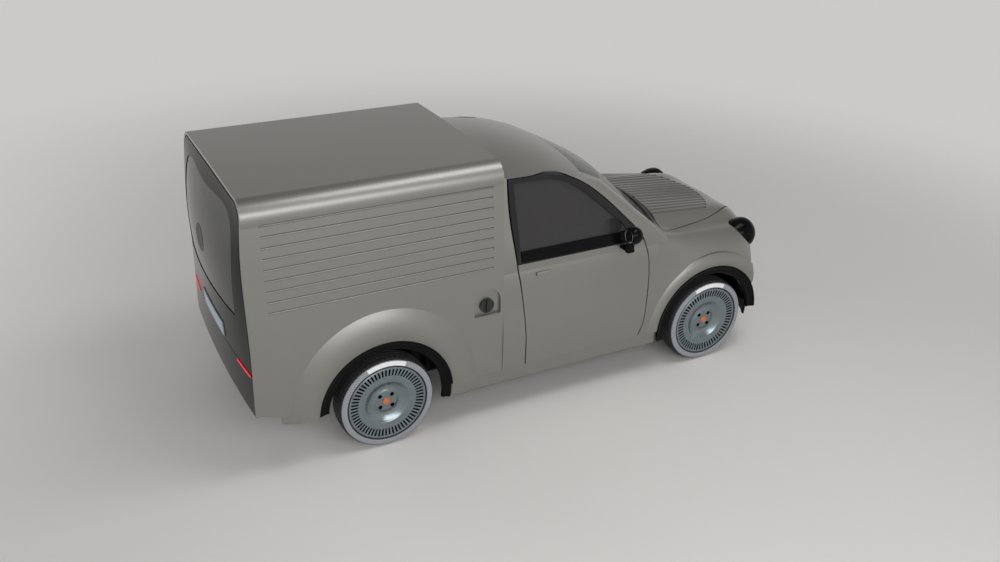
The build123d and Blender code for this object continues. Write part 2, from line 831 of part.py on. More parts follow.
arch_inner_radius = arch_radius - 12.0
liner_outer_radius = arch_radius - 0.3
firewall_top_z = 1060.0

with BuildPart() as floor_pan:
    with BuildSketch(Plane.XZ.offset(-floor_half)):
        with BuildLine():
            Polyline(
                (box_rear_x + 62, cargo_floor_z),
                (box_front_x, cargo_floor_z),
                (box_front_x, cab_floor_z),
                (firewall_x - 30, cab_floor_z),
                (firewall_x - 30, firewall_top_z),
                (firewall_x, firewall_top_z),
                (firewall_x, cab_floor_z - floor_thickness),
                (box_front_x - 30, cab_floor_z - floor_thickness),
                (box_front_x - 30, cargo_floor_z - floor_thickness),
                (box_rear_x + 62, cargo_floor_z - floor_thickness),
                close=True,
            )
        make_face()
    extrude(amount=2 * floor_half)
    add(arch_plug(rear_axle_x, liner_outer_radius, wheelhouse_inner_y, 900.0), mode=Mode.SUBTRACT)
    add(mirrored(arch_plug(rear_axle_x, liner_outer_radius, wheelhouse_inner_y, 900.0)), mode=Mode.SUBTRACT)
    for side in (-1, 1):
        with Locations(((box_rear_x + 100 + rear_axle_x - 470) / 2, side * 500.0, 440.0)):
            Box(rear_axle_x - 470 - box_rear_x - 100, 60.0, 40.0)
        with Locations((-455.0, side * 500.0, 440.0)):
            Box(300.0, 60.0, 40.0)


def liner(axle_x, inner_y, outer_y):
    """The wheelhouse over one right-hand wheel, with the dished lip that shows inside the arch."""
    with BuildPart() as house:
        with BuildSketch(Plane.XY.offset(axle_z)):
            with BuildLine():
                Polyline(
                    (axle_x, -inner_y),
                    (axle_x + liner_outer_radius, -inner_y),
                    (axle_x + liner_outer_radius, -outer_y),
                    (axle_x + arch_lip_radius, -outer_y + 24.0),
                    (axle_x + arch_lip_radius, -outer_y + 36.0),
                    (axle_x + arch_inner_radius, -outer_y + 18.0),
                    (axle_x + arch_inner_radius, -inner_y - 12.0),
                    (axle_x, -inner_y - 12.0),
                    close=True,
                )
            make_face()
        revolve(axis=Axis((axle_x, 0, axle_z), (0, 1, 0)))
        split(bisect_by=Plane.XY.offset(sill_z), keep=Keep.TOP)
    return house.part


king_low = Vector(front_axle_x, -640.0, 215.0)
king_top = Vector(front_axle_x, -548.0, 842.0)
king_axis = (king_top - king_low).normalized()


def king_plane(distance):
    """A plane square to the right steering axis, that far above its lower ball."""
    return Plane(origin=king_low + king_axis * distance, z_dir=king_axis, x_dir=(1, 0, 0))


king_length = (king_top - king_low).length

with BuildPart() as front_house:
    add(liner(front_axle_x, steer_lock_wall_y, front_flare_crest - 0.3 * front_flare_fall - 4.0))
    with BuildSketch(king_plane(king_length - 150.0)):
        Circle(58.0)
    extrude(amount=150.0)
    with BuildSketch(king_plane(king_length - 170.0)):
        Circle(48.0)
    extrude(amount=158.0, mode=Mode.SUBTRACT)
    with BuildSketch(king_plane(king_length - 20.0)):
        Circle(12.0 + running_clearance)
    extrude(amount=40.0, mode=Mode.SUBTRACT)

with BuildPart() as rear_house:
    add(liner(rear_axle_x, wheelhouse_inner_y, rear_flare_crest - 0.3 * rear_flare_fall - 4.0))
    add(arch_plug(rear_axle_x, 50.0, wheelhouse_inner_y - 5.0, wheelhouse_inner_y + 20.0), mode=Mode.SUBTRACT)

with BuildPart() as arch_liners:
    add(body_of(front_house.part))
    add(mirrored(body_of(front_house.part)))
    add(rear_house.part)
    add(mirrored(rear_house.part))

with BuildPart() as rear_axle:
    with Locations((rear_axle_x, 0, axle_z)):
        Cylinder(30.0, 1150.0, rotation=(90, 0, 0))
    for side in (-1, 1):
        with Locations((rear_axle_x, side * 588.0, axle_z)):
            Cylinder(78.0, 26.0, rotation=(90, 0, 0))
        with Locations((rear_axle_x, side * 650.0, axle_z)):
            Cylinder(hub_bore_radius - running_clearance, 110.0, rotation=(90, 0, 0))
        with Locations((rear_axle_x, side * 470.0, (axle_z + cargo_floor_z - floor_thickness) / 2 + 8.0)):
            Cylinder(46.0, cargo_floor_z - floor_thickness - axle_z - 16.0)
        with Locations((rear_axle_x + 250.0, side * 500.0, axle_z + 12.0)):
            Box(500.0, 50.0, 36.0)
        with Locations((rear_axle_x + 520.0, side * 500.0, axle_z + 42.2)):
            Box(60.0, 50.0, 105.0)

with BuildPart() as knuckle:
    with BuildSketch(king_plane(-18.0)):
        Circle(26.0)
    extrude(amount=50.0)
    with BuildSketch(king_plane(26.0)):
        Circle(22.0)
    extrude(amount=king_length - 26.0 - 26.0)
    with BuildSketch(king_plane(king_length - 60.0)):
        Circle(12.0)
    extrude(amount=76.0)
    with Locations((front_axle_x, -624.0, axle_z)):
        Cylinder(70.0, 30.0, rotation=(90, 0, 0))
    with Locations((front_axle_x, -666.0, axle_z)):
        Cylinder(hub_bore_radius - running_clearance, 78.0, rotation=(90, 0, 0))
    with BuildSketch(king_plane(-30.0)):
        Circle(12.0 + running_clearance)
    extrude(amount=54.0, mode=Mode.SUBTRACT)

with BuildPart() as front_subframe:
    with Locations((front_axle_x, 0, 250.0)):
        Box(440.0, 660.0, 50.0)
    for side in (-1, 1):
        with Locations(((firewall_x + 1880.0) / 2, side * 350.0, 250.0)):
            Box(1880.0 - firewall_x, 70.0, 60.0)
    for side in (-1, 1):
        with BuildSketch(Plane.XY.offset(168.0)):
            with BuildLine():
                Polyline(
                    (front_axle_x - 120, side * 385),
                    (front_axle_x + 120, side * 385),
                    (front_axle_x + 30, side * 640),
                    (front_axle_x - 30, side * 640),
                    close=True,
                )
            make_face()
        extrude(amount=22.0)
    for side in (-1, 1):
        with Locations((front_axle_x, side * 385.0, 200.0)):
            Box(240.0, 40.0, 64.0)
    with BuildSketch(king_plane(-48.0)):
        Circle(12.0)
    extrude(amount=66.0)
    with BuildSketch(Plane(origin=(king_low.X, -king_low.Y, king_low.Z), z_dir=(0, -king_axis.Y, king_axis.Z), x_dir=(1, 0, 0)).offset(-48.0)):
        Circle(12.0)
    extrude(amount=66.0)

with BuildPart() as engine_block:
    with Locations((front_axle_x + 20.0, 0, 559.3)):
        Box(460.0, 560.0, 568.0)
    fillet(engine_block.edges().filter_by(Axis.Z), 40.0)

with BuildPart() as sills:
    with BuildSketch(Plane.YZ.offset(rear_axle_x + arch_radius)):
        with BuildLine():
            Polyline((-690, rocker_bottom_z), (-728, rocker_bottom_z), (-752, 246), (-764, sill_z - 0.3), (-690, sill_z - 0.3), close=True)
        make_face()
    extrude(amount=wheelbase - 2 * arch_radius)
    with Locations((jack_rear_x, -709.0, rocker_bottom_z), (jack_front_x, -709.0, rocker_bottom_z)):
        Box(90.0, 34.0, 20.0)
    mirror(about=Plane.XZ)

# ---------------------------------------------------------------- wheels

def tyre_solid(axle_x):
    """One right-hand tyre."""
    half = tyre_width / 2
    outer = -wheel_centre_y - half
    inner = -wheel_centre_y + half
    bulge = axle_x + 286.0
    shoulder = axle_x + tyre_radius - 3.0
    bead = axle_x + rim_radius
    with BuildPart() as tyre:
        with BuildSketch(Plane.XY.offset(axle_z)):
            with BuildLine():
                Line((bead, outer + 6), (bead, inner - 6))
                Line((bead, inner - 6), (bulge, inner))
                ThreePointArc((bulge, inner), (bulge + 24, inner - 8), (shoulder, inner - 26))
                Line((shoulder, inner - 26), (shoulder + 3, -wheel_centre_y))
                Line((shoulder + 3, -wheel_centre_y), (shoulder, outer + 26))
                ThreePointArc((shoulder, outer + 26), (bulge + 24, outer + 8), (bulge, outer))
                Line((bulge, outer), (bead, outer + 6))
            make_face()
        revolve(axis=Axis((axle_x, 0, axle_z), (0, 1, 0)))
    return tyre.part


def wheel_solid(axle_x):
    """One right-hand wheel: barrel, dished disc with radial slots, stud recesses and hub."""
    face = -wheel_centre_y - tyre_width / 2
    rim = axle_x + rim_radius - 0.2
    with BuildPart() as wheel:
        with BuildSketch(Plane.XY.offset(axle_z)):
            with BuildLine():
                x = axle_x
                Line((x, face + 40), (x + 92, face + 40))
                Spline((x + 92, face + 40), (x + 118, face + 28), (x + 142, face + 15.5))
                Polyline(
                    (x + 142, face + 15.5),
                    (x + 194, face + 11),
                    (x + 254, face + 4.5),
                    (rim, face + 6),
                    (rim, face + tyre_width - 8),
                    (rim - 12, face + tyre_width - 8),
                    (rim - 16, face + 30),
                    (x + 120, face + 54),
                    (x + 64, face + 66),
                    (x + 64, face + tyre_width - 55),
                    (x, face + tyre_width - 55),
                    (x, face + 40),
                )
            make_face()
        revolve(axis=Axis((axle_x, 0, axle_z), (0, 1, 0)))
        with Locations((axle_x, -wheel_centre_y + 20.0, axle_z)):
            Cylinder(hub_bore_radius, 110.0, rotation=(90, 0, 0), mode=Mode.SUBTRACT)
        with BuildSketch(Plane(origin=(axle_x, face + slot_depth + 7.5, axle_z), z_dir=(0, -1, 0), x_dir=(1, 0, 0))):
            with PolarLocations((slot_inner_radius + slot_outer_radius) / 2, wheel_slots):
                Rectangle(slot_outer_radius - slot_inner_radius, slot_width)
        extrude(amount=40.0, mode=Mode.SUBTRACT)
        with BuildSketch(Plane(origin=(axle_x, face + 54.0, axle_z), z_dir=(0, -1, 0), x_dir=(1, 0, 0))):
            with PolarLocations(stud_circle, 4, start_angle=45.0):
                Circle(stud_recess_radius)
        extrude(amount=40.0, mode=Mode.SUBTRACT)
    return wheel.part


# ---------------------------------------------------------------- cabin

with BuildPart() as seats:
    for side in (-1, 1):
        with BuildSketch(Plane.XZ.offset(side * 330.0 + 235.0)):
            with BuildLine():
                Polyline((-60, cab_floor_z + 0.3), (380, cab_floor_z + 0.3), (430, 560), (40, 540), (-60, 1010), (-90, 1190), (-190, 1180), (-150, 980), (-110, 540), close=True)
            make_face()
        extrude(amount=-470.0)

with BuildPart() as dashboard:
    with BuildSketch(Plane.XZ.offset(-620.0)):
        with BuildLine():
            Polyline((700, 760), (760, 700), (firewall_x - 30.3, 680), (firewall_x - 30.3, 1010), (760, 1000), (700, 930), close=True)
        make_face()
    extrude(amount=1240.0)

wheel_tilt = Plane(origin=(560, 330, 900), z_dir=(-0.82, 0, 0.57), x_dir=(0, 1, 0))
with BuildPart() as steering_wheel:
    with Locations(wheel_tilt):
        Torus(178.0, 15.0)
        Cylinder(48.0, 30.0)
        Box(340.0, 30.0, 12.0)
    with BuildSketch(wheel_tilt):
        Circle(22.0)
    extrude(amount=-200.0)
    split(bisect_by=Plane.YZ.offset(699.7), keep=Keep.BOTTOM)

# ---------------------------------------------------------------- lamps, mirrors and small parts

with BuildPart() as headlamps:
    add(lamp_pod(0.3))
    mirror(about=Plane.XZ)

with BuildPart() as rear_lamps:
    add(rear_form(-5.0))
    add(rear_form(-0.2), mode=Mode.SUBTRACT)
    with BuildSketch(Plane.YZ.offset(box_rear_x + 200.0)):
        for side in (-1, 1):
            with Locations((side * 610.0, tailgate_split_z - 9.0)):
                Rectangle(230.0, 14.0)
    extrude(amount=-600.0, mode=Mode.INTERSECT)

with BuildPart() as number_plate:
    add(rear_form(-6.0))
    add(rear_form(-0.2), mode=Mode.SUBTRACT)
    with BuildSketch(Plane.YZ.offset(box_rear_x + 200.0)):
        with Locations((0, 812.0)):
            RectangleRounded(520.0, 110.0, 8.0)
    extrude(amount=-600.0, mode=Mode.INTERSECT)

with BuildPart() as fuel_cap:
    with BuildSketch(Plane.XZ.offset(flank_half_low - 29.7)):
        with Locations((-391.0, 862.0)):
            Circle(50.0)
    extrude(amount=14.0)
    with BuildSketch(Plane.XZ.offset(flank_half_low - 16.0)):
        with Locations((-391.0, 862.0)):
            Rectangle(16.0, 84.0)
    extrude(amount=12.0)

with BuildPart() as mirror_pod:
    with Locations((650.0, -848.0, 1205.0)):
        Sphere(62.0)
    with Locations((582.0, -848.0, 1205.0)):
        Box(60.0, 140.0, 140.0, mode=Mode.SUBTRACT)
    with BuildSketch(Plane.XZ.offset(700.0)):
        with Locations((650.0, 1082.0)):
            RectangleRounded(56.0, 24.0, 10.0)
    extrude(amount=135.0)
    with BuildSketch(Plane.XY.offset(1070.0)):
        with Locations((650.0, -818.0)):
            RectangleRounded(56.0, 34.0, 10.0)
    extrude(amount=120.0)
    add(green_form(-0.3), mode=Mode.SUBTRACT)
    add(nose_form(-0.3), mode=Mode.SUBTRACT)

# ---------------------------------------------------------------- nodes

with BuildPart() as cab_frame:
    add(body_of(upper_cab.part))
    add(hinge_post.part)
    add(mirrored(hinge_post.part))

with BuildPart() as cowl_panel:
    add(body_of(cowl.part))
    with Locations((firewall_x + 36.0, 0, firewall_top_z + 15.3)):
        Box(132.0, 1160.0, 30.0)

wing_right = body_of(wing.part)

with BuildPart() as door_right:
    add(body_of(door.part))
    add(door_pockets(), mode=Mode.SUBTRACT)
    add(door_pins())

nodes = {
    "floor_pan": floor_pan.part,
    "front_subframe": front_subframe.part,
    "engine_block": engine_block.part,
    "rear_axle": rear_axle.part,
    "knuckle_right": knuckle.part,
    "knuckle_left": mirrored(knuckle.part),
    "sills": sills.part,
    "arch_liners": arch_liners.part,
    "box_side_right": box_side_right.part,
    "box_side_left": box_side_left.part,
    "box_roof": roof_panel.part,
    "bulkhead": bulkhead.part,
    "tailgate": tailgate_lid.part,
    "tailgate_glass": tailgate_glass.part,
    "rear_bumper": rear_bumper.part,
    "rear_lamps": rear_lamps.part,
    "number_plate": number_plate.part,
    "cab_frame": cab_frame.part,
    "windscreen": windscreen.part,
    "cowl": cowl_panel.part,
    "bonnet": bonnet_lid.part,
    "wing_right": wing_right,
    "wing_left": mirrored(wing_right),
    "nose_panel": nose_front.part,
    "grille": grille.part,
    "headlamps": headlamps.part,
    "door_right": door_right.part,
    "door_left": mirrored(door_right.part),
    "door_glass_right": door_glass.part,
    "door_glass_left": mirrored(door_glass.part),
    "mirror_right": body_of(mirror_pod.part),
    "mirror_left": mirrored(body_of(mirror_pod.part)),
    "seats": seats.part,
    "dashboard": dashboard.part,
    "steering_wheel": steering_wheel.part,
    "fuel_cap": fuel_cap.part,
}
for place, axle_x in (("front", front_axle_x), ("rear", rear_axle_x)):
    tyre = tyre_solid(axle_x)
    wheel = wheel_solid(axle_x)
    nodes[f"tyre_{place}_right"] = tyre
    nodes[f"tyre_{place}_left"] = mirrored(tyre)
    nodes[f"wheel_{place}_right"] = wheel
    nodes[f"wheel_{place}_left"] = mirrored(wheel)

for name, piece in nodes.items():
    piece.label = name
    export_step(piece, f"parts/{name}.step")
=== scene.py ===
"""Looks of the small panel van: finishes for its panels, and the tyres, wheels, lamps and trim on them."""

import math

import bmesh
import bpy
from bpy.props import FloatProperty, FloatVectorProperty, IntProperty, PointerProperty
from mathutils import Matrix, Vector
from mathutils.bvhtree import BVHTree


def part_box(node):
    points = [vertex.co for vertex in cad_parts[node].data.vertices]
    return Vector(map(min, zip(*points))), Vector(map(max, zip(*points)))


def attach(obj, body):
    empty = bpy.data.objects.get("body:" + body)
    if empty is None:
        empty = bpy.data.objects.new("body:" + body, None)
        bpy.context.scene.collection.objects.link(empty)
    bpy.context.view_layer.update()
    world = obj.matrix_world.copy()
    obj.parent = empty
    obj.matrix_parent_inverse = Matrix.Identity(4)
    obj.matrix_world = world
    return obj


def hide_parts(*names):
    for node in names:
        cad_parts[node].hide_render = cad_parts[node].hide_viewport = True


bl_info = {
    "name": "Small panel van",
    "version": (1, 0, 0),
    "blender": (4, 5, 0),
    "location": "3D View > Sidebar > Panel Van",
    "description": "Tyres, wheels, lamps, trim, seats and finishes for the small panel van",
    "category": "Object",
}

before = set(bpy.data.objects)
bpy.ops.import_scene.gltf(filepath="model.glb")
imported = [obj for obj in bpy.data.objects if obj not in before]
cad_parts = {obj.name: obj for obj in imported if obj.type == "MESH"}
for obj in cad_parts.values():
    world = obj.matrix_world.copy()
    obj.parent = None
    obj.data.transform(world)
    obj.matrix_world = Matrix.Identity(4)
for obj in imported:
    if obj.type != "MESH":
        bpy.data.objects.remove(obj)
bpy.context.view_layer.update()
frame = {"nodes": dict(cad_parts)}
nodes = frame["nodes"]

tyre_low, tyre_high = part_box("tyre_front_right")
tyre_radius = (tyre_high.z - tyre_low.z) / 2
tyre_half = (tyre_high.y - tyre_low.y) / 2
axle_z = tyre_radius
front_axle_x = (tyre_low.x + tyre_high.x) / 2
rear_axle_x = sum(corner.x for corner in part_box("tyre_rear_right")) / 2
wheel_y = (tyre_low.y + tyre_high.y) / 2
face_y = wheel_y - tyre_half
rim_low, rim_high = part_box("wheel_front_right")
rim_radius = (rim_high.z - rim_low.z) / 2
belt_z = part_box("door_glass_right")[0].z - 0.004

# points inside the hollows that panels look away from
box_middle = (-1.0795, 0, 1.1)
cab_middle = (0.35, 0, 0.95)
nose_middle = (1.35, 0, 0.62)

# the side grooves, the bonnet's flutes, and how much painted shade darkens the paint in them
groove_count, groove_low_z, groove_height, groove_half = 9, 1.128, 0.0125, 0.7295
groove_pitch = 0.539 / (groove_count - 1)
flute_pitch = 0.05
shade_share = 0.6

# radii on the sidewall and the wheel's face
band_inner, band_outer = 0.2725, 0.3105
white_inner, white_outer = 0.276, 0.3065
slot_inner, slot_outer = 0.199, 0.249

backdrop = (0.6, 0.592, 0.578)


# ---- settings


def colour(name, description, default):
    """A colour setting."""
    return FloatVectorProperty(
        name=name, description=description, subtype="COLOR", min=0, max=1, default=default
    )


def number(name, description, default, **more):
    """A number setting, a length unless said otherwise."""
    return FloatProperty(name=name, description=description, default=default, **(more or {"unit": "LENGTH"}))


class VanFinishes(bpy.types.PropertyGroup):
    """Colours of the van."""

    paint: colour("Paint", "Body colour", (0.275, 0.268, 0.248))
    alloy: colour("Wheels", "Colour of the wheel discs", (0.26, 0.305, 0.325))
    cap: colour("Centre caps", "Colour of the wheels' centre caps", (0.62, 0.16, 0.035))
    lamp: colour("Rear lamps", "Colour of the rear light bars", (0.75, 0.01, 0.015))
    band: colour("Sidewall band", "Colour of the serrated tyre band", (0.34, 0.36, 0.39))


class VanSizes(bpy.types.PropertyGroup):
    """Sizes of the parts fitted to the panels."""

    groove_depth: number("Tread depth", "Depth of the tread grooves", 0.007)
    slots: IntProperty(name="Wheel slots", description="Slots round each wheel", default=60, min=12)
    slot_depth: number("Slot depth", "Depth of the wheel slots", 0.014)
    strip_height: number("Belt strip", "Height of the strip under each door window", 0.08)
    blade_length: number("Wiper blade", "Length of each wiper blade", 0.52)


class VanStudio(bpy.types.PropertyGroup):
    """Light and floor."""

    key_power: number("Side light", "Power of the light over the right side", 210.0, unit="POWER")
    top_power: number("Top light", "Power of the lights above and behind", 110.0, unit="POWER")
    world_level: number("Room light", "Strength of the light from all round", 0.5, unit="NONE")
    floor_tone: number("Floor tone", "Lightness of the floor", 0.78, subtype="FACTOR")


# ---- shader maths


def sum_of(operation, swapped=False):
    """A method that sets up one operation on two outputs, or on one."""

    def method(self, *others):
        inputs = [*others, self] if swapped else [self, *others]
        return self.nodes.add("ShaderNodeMath", {"operation": operation}, inputs)

    return method


class Value:
    """One shader output that can be used in sums."""

    def __init__(self, nodes, socket):
        self.nodes = nodes
        self.socket = socket

    def math(self, operation, *others):
        return self.nodes.add("ShaderNodeMath", {"operation": operation}, [self, *others])

    __add__ = __radd__ = sum_of("ADD")
    __mul__ = __rmul__ = sum_of("MULTIPLY")
    __sub__ = sum_of("SUBTRACT")
    __rsub__ = sum_of("SUBTRACT", swapped=True)
    __truediv__ = sum_of("DIVIDE")
    __mod__ = sum_of("FLOORED_MODULO")
    __gt__ = sum_of("GREATER_THAN")
    __lt__ = sum_of("LESS_THAN")
    __abs__ = sum_of("ABSOLUTE")


class Nodes:
    """A node tree, built node by node."""

    def __init__(self, tree):
        self.tree = tree
        self.tree.nodes.clear()

    def add(self, kind, settings=None, inputs=(), output=0):
        """A node with its settings, then its inputs by name or in order; gives one of its outputs."""
        node = self.tree.nodes.new(kind)
        for key, value in (settings or {}).items():
            setattr(node, key, value)
        pairs = inputs.items() if isinstance(inputs, dict) else enumerate(inputs)
        for key, value in pairs:
            if isinstance(value, Value):
                self.tree.links.new(value.socket, node.inputs[key])
            else:
                node.inputs[key].default_value = value
        return Value(self, node.outputs[output])

    def end(self, kind, shader):
        """An output node that shows a shader."""
        out = self.tree.nodes.new(kind)
        self.tree.links.new(shader.socket, out.inputs["Surface"])
        return out

    def rays(self, *kinds):
        """Masks for kinds of rays."""
        return [self.add("ShaderNodeLightPath", output=f"Is {kind} Ray") for kind in kinds]

    def split(self, vector):
        """The three numbers of a vector."""
        return [self.add("ShaderNodeSeparateXYZ", None, [vector], axis) for axis in "XYZ"]


class Finish(Nodes):
    """One material."""

    def __init__(self, name):
        self.material = bpy.data.materials.new(name)
        self.material.use_nodes = True
        super().__init__(self.material.node_tree)

    def place(self, centre=(0, 0, 0)):
        """Object coordinates measured from centre."""
        point = self.add("ShaderNodeTexCoord", output="Object")
        inputs = {"Vector": point, "Location": tuple(-c for c in centre)}
        return self.add("ShaderNodeMapping", {"vector_type": "POINT"}, inputs)

    def facing(self):
        """The surface's own direction."""
        return self.add("ShaderNodeNewGeometry", output="True Normal")

    def noise(self, scale, detail):
        """Even noise at a scale in turns per metre."""
        inputs = {"Vector": self.place(), "Scale": scale, "Detail": detail}
        return self.add("ShaderNodeTexNoise", None, inputs, "Fac")

    def mix(self, mask, low, high):
        """A colour that goes from low to high with a mask."""
        low = low if isinstance(low, Value) else (*low, 1.0)
        high = high if isinstance(high, Value) else (*high, 1.0)
        return self.add("ShaderNodeMix", {"data_type": "RGBA"}, {0: mask, 6: low, 7: high}, 2)

    def bump(self, height, strength, distance=0.001):
        """Surface relief from a height."""
        inputs = {"Height": height, "Strength": strength, "Distance": distance}
        return self.add("ShaderNodeBump", None, inputs, "Normal")

    def surface(self, colour, roughness, relief=None, more=None):
        """The finished surface, with more of its inputs by name."""
        inputs = {"Base Color": colour, "Roughness": roughness, **(more or {})}
        if relief:
            inputs["Normal"] = relief
        self.shader = self.add("ShaderNodeBsdfPrincipled", None, inputs)
        self.output = self.end("ShaderNodeOutputMaterial", self.shader)
        return self.material

    def fade_out(self, colour, near, far):
        """From near to far away, what is seen turns into one plain colour."""
        away = self.add("ShaderNodeVectorMath", {"operation": "LENGTH"}, [self.place()], "Value")
        limits = {"Value": away, "From Min": near, "From Max": far}
        share = self.add("ShaderNodeMapRange", {"interpolation_type": "SMOOTHSTEP"}, limits)
        seen, shiny, through = self.rays("Camera", "Glossy", "Transmission")
        glow = self.add("ShaderNodeEmission", None, {"Color": (*colour, 1.0)})
        mixed = self.add("ShaderNodeMixShader", None, [share * (seen + shiny + through), self.shader, glow])
        self.tree.links.new(mixed.socket, self.output.inputs["Surface"])


def rgb(colour, factor=1.0):
    """A plain colour tuple, lighter or darker by factor."""
    return tuple(min(1.0, c * factor) for c in colour)


# ---- finishes


def paint_finish(name, lining, centre, outside, shade=None, black=None):
    """Satin metallic body colour outside, and a lining colour on the faces that look inwards.

    outside, shade and black take the place and the direction of the surface and give a mask each; shade
    marks where shade is painted into the colour.
    """
    finish = Finish(name)
    paint = bpy.context.scene.van_finishes.paint
    place = finish.split(finish.place(centre))
    facing = finish.split(finish.facing())
    painted = outside(place, facing)
    flake = finish.noise(2600.0, 1.0)
    tone = finish.mix(finish.noise(1.3, 2.0), rgb(paint, 0.95), rgb(paint, 1.05))
    tone = finish.mix((flake > 0.62) * 0.5, tone, rgb(paint, 1.5))
    metallic, coated, smoothed = 0.78, 0.35, 0.3
    rough = painted * -0.22 + 0.62 + flake * 0.04
    metal = painted * metallic
    coat = painted * coated
    # painted shade: where the shade mask is set, the paint darkens towards 0.12 of its colour
    if shade:
        tone = finish.mix(shade(place, facing), tone, rgb(paint, 0.12))
    if black:
        trim = black(place, facing) * painted
        tone = finish.mix(trim, tone, (0.004, 0.004, 0.0045))
        rough = rough - trim * smoothed
        metal = metal - trim * metallic
        coat = coat - trim * coated
    return finish.surface(
        finish.mix(painted, lining, tone), rough, finish.bump(flake, 0.035, 0.0002),
        {"Metallic": metal, "Coat Weight": coat, "Coat Roughness": 0.16}
    )


def outwards(ease, share):
    """A mask for panels round a hollow: the faces that look away from its middle."""

    def mask(place, facing):
        (x, y, z), (nx, ny, nz) = place, facing
        return x * nx * 0.2 + y * ny + z * nz * share > ease

    return mask


def sideways(place, facing):
    """A mask for the faces of a door that look out."""
    return place[1] * facing[1] / (abs(place[1]) + 0.001) > 0.3


def groove_shade(place, facing):
    """Painted shade in the side grooves, apart from their lower walls, which catch the light."""
    x, y, z = place
    turns = (z - (groove_low_z - box_middle[2])) * (1 / groove_pitch) + 0.5
    off = abs(turns % 1.0 - 0.5)
    inside = (turns > 0.2) * (turns < groove_count - 0.2) * (abs(x) < groove_half) * (abs(y) > 0.5)
    return (off < groove_height / 2 / groove_pitch) * inside * (facing[2] < 0.3) * shade_share


def flute_shade(place, facing):
    """Painted shade in the hollows of the bonnet's flutes, darkest along their middles."""
    x, y, z = place
    off = abs((y * (1 / flute_pitch)) % 1.0 - 0.5)
    hollow = (1.0 - off * off * 9.0).math("MAXIMUM", 0.0)
    inside = (x > -0.31) * (x < 0.45 - y * y * 1.1) * (abs(y) < 0.4) * (facing[2] > 0.3)
    return hollow * inside * shade_share


def above_belt(place, facing):
    """The door's window frame."""
    return place[2] > belt_z - cab_middle[2]


def cloudy_finish(name, grain, tints, rough, relief, more=None):
    """A finish that drifts between two tints.

    grain is the scale and detail of its noise, rough what the noise adds to the roughness and the
    least roughness, and relief the strength and distance of its bump.
    """
    finish = Finish(name)
    cloud = finish.noise(*grain)
    colour = finish.mix(cloud, *tints)
    return finish.surface(colour, cloud * rough[0] + rough[1], finish.bump(cloud, *relief), more)


def glass_finish(name, tint, alpha):
    """Dark tinted glazing with a faint waviness."""
    tints = (rgb(tint, 0.9), rgb(tint, 1.1))
    return cloudy_finish(name, (2.2, 1.0), tints, (0.01, 0.02), (0.02, 0.004), {"IOR": 1.5, "Alpha": alpha})


def gloss_black_finish(name):
    """Deep gloss black panels, with the faint ripple of moulded plastic."""
    finish = Finish(name)
    dust = finish.noise(240.0, 4.0)
    return finish.surface(
        finish.mix(dust, (0.003, 0.003, 0.0035), (0.006, 0.006, 0.006)), dust * 0.06 + 0.1,
        finish.bump(finish.noise(9.0, 2.0), 0.05, 0.002), {"IOR": 1.18}
    )


def grained_finish(name, colour, roughness, grain=900.0, depth=0.25):
    """Moulded plastic with a fine grain."""
    finish = Finish(name)
    inputs = {"Vector": finish.place(), "Scale": grain}
    cells = finish.add("ShaderNodeTexVoronoi", {"feature": "DISTANCE_TO_EDGE"}, inputs, "Distance")
    wear = finish.noise(6.0, 4.0)
    return finish.surface(
        finish.mix(wear, rgb(colour, 0.8), rgb(colour, 1.25)), wear * 0.12 + (roughness - 0.06),
        finish.bump(cells, depth, 0.0006)
    )


def lamp_bar_finish(name):
    """Red light bars, lit from inside, with close ribs."""
    finish = Finish(name)
    colour = bpy.context.scene.van_finishes.lamp
    y = finish.split(finish.place())[1]
    ribs = (y * 1570.0).math("SINE") * 0.5 + 0.5
    glow = finish.mix(ribs, rgb(colour, 0.6), rgb(colour))
    return finish.surface(
        finish.mix(ribs, rgb(colour, 0.75), rgb(colour)), 0.18, finish.bump(ribs, 0.3, 0.0008),
        {"Emission Color": glow, "Emission Strength": 0.9}
    )


def plate_finish(name):
    """A blank plate: pale face, darker pressed border."""
    finish = Finish(name)
    low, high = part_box("number_plate")
    half = (high - low) / 2
    border = 0.008
    x, y, z = finish.split(finish.place((low + high) / 2))
    edge = ((abs(y) > half.y - border) + (abs(z) > half.z - border)) > 0.5
    beads = finish.noise(1800.0, 1.0)
    return finish.surface(
        finish.mix(edge, (0.46, 0.53, 0.62), (0.2, 0.22, 0.25)), beads * 0.15 + 0.28,
        finish.bump(edge + beads * 0.05, 0.5, 0.001)
    )


def metal_finish(name, colour, roughness, grit=140.0, metallic=0.85):
    """Bare or coated metal with a cast or rolled skin and some road dirt."""
    finish = Finish(name)
    skin = finish.noise(grit, 5.0)
    stained = (finish.noise(5.0, 5.0) > 0.56) * 0.45
    bare = finish.mix(skin, rgb(colour, 0.8), rgb(colour, 1.2))
    return finish.surface(
        finish.mix(stained, bare, (0.11, 0.085, 0.06)), skin * 0.2 + (roughness - 0.1) + stained * 0.3,
        finish.bump(skin, 0.3, 0.0012), {"Metallic": (1 - stained) * metallic}
    )


def round_axle(finish, axle_x):
    """The three numbers of a place measured from an axle, and its radius."""
    x, y, z = finish.split(finish.place((axle_x, 0, axle_z)))
    return x, y, z, (x * x + z * z).math("SQRT")


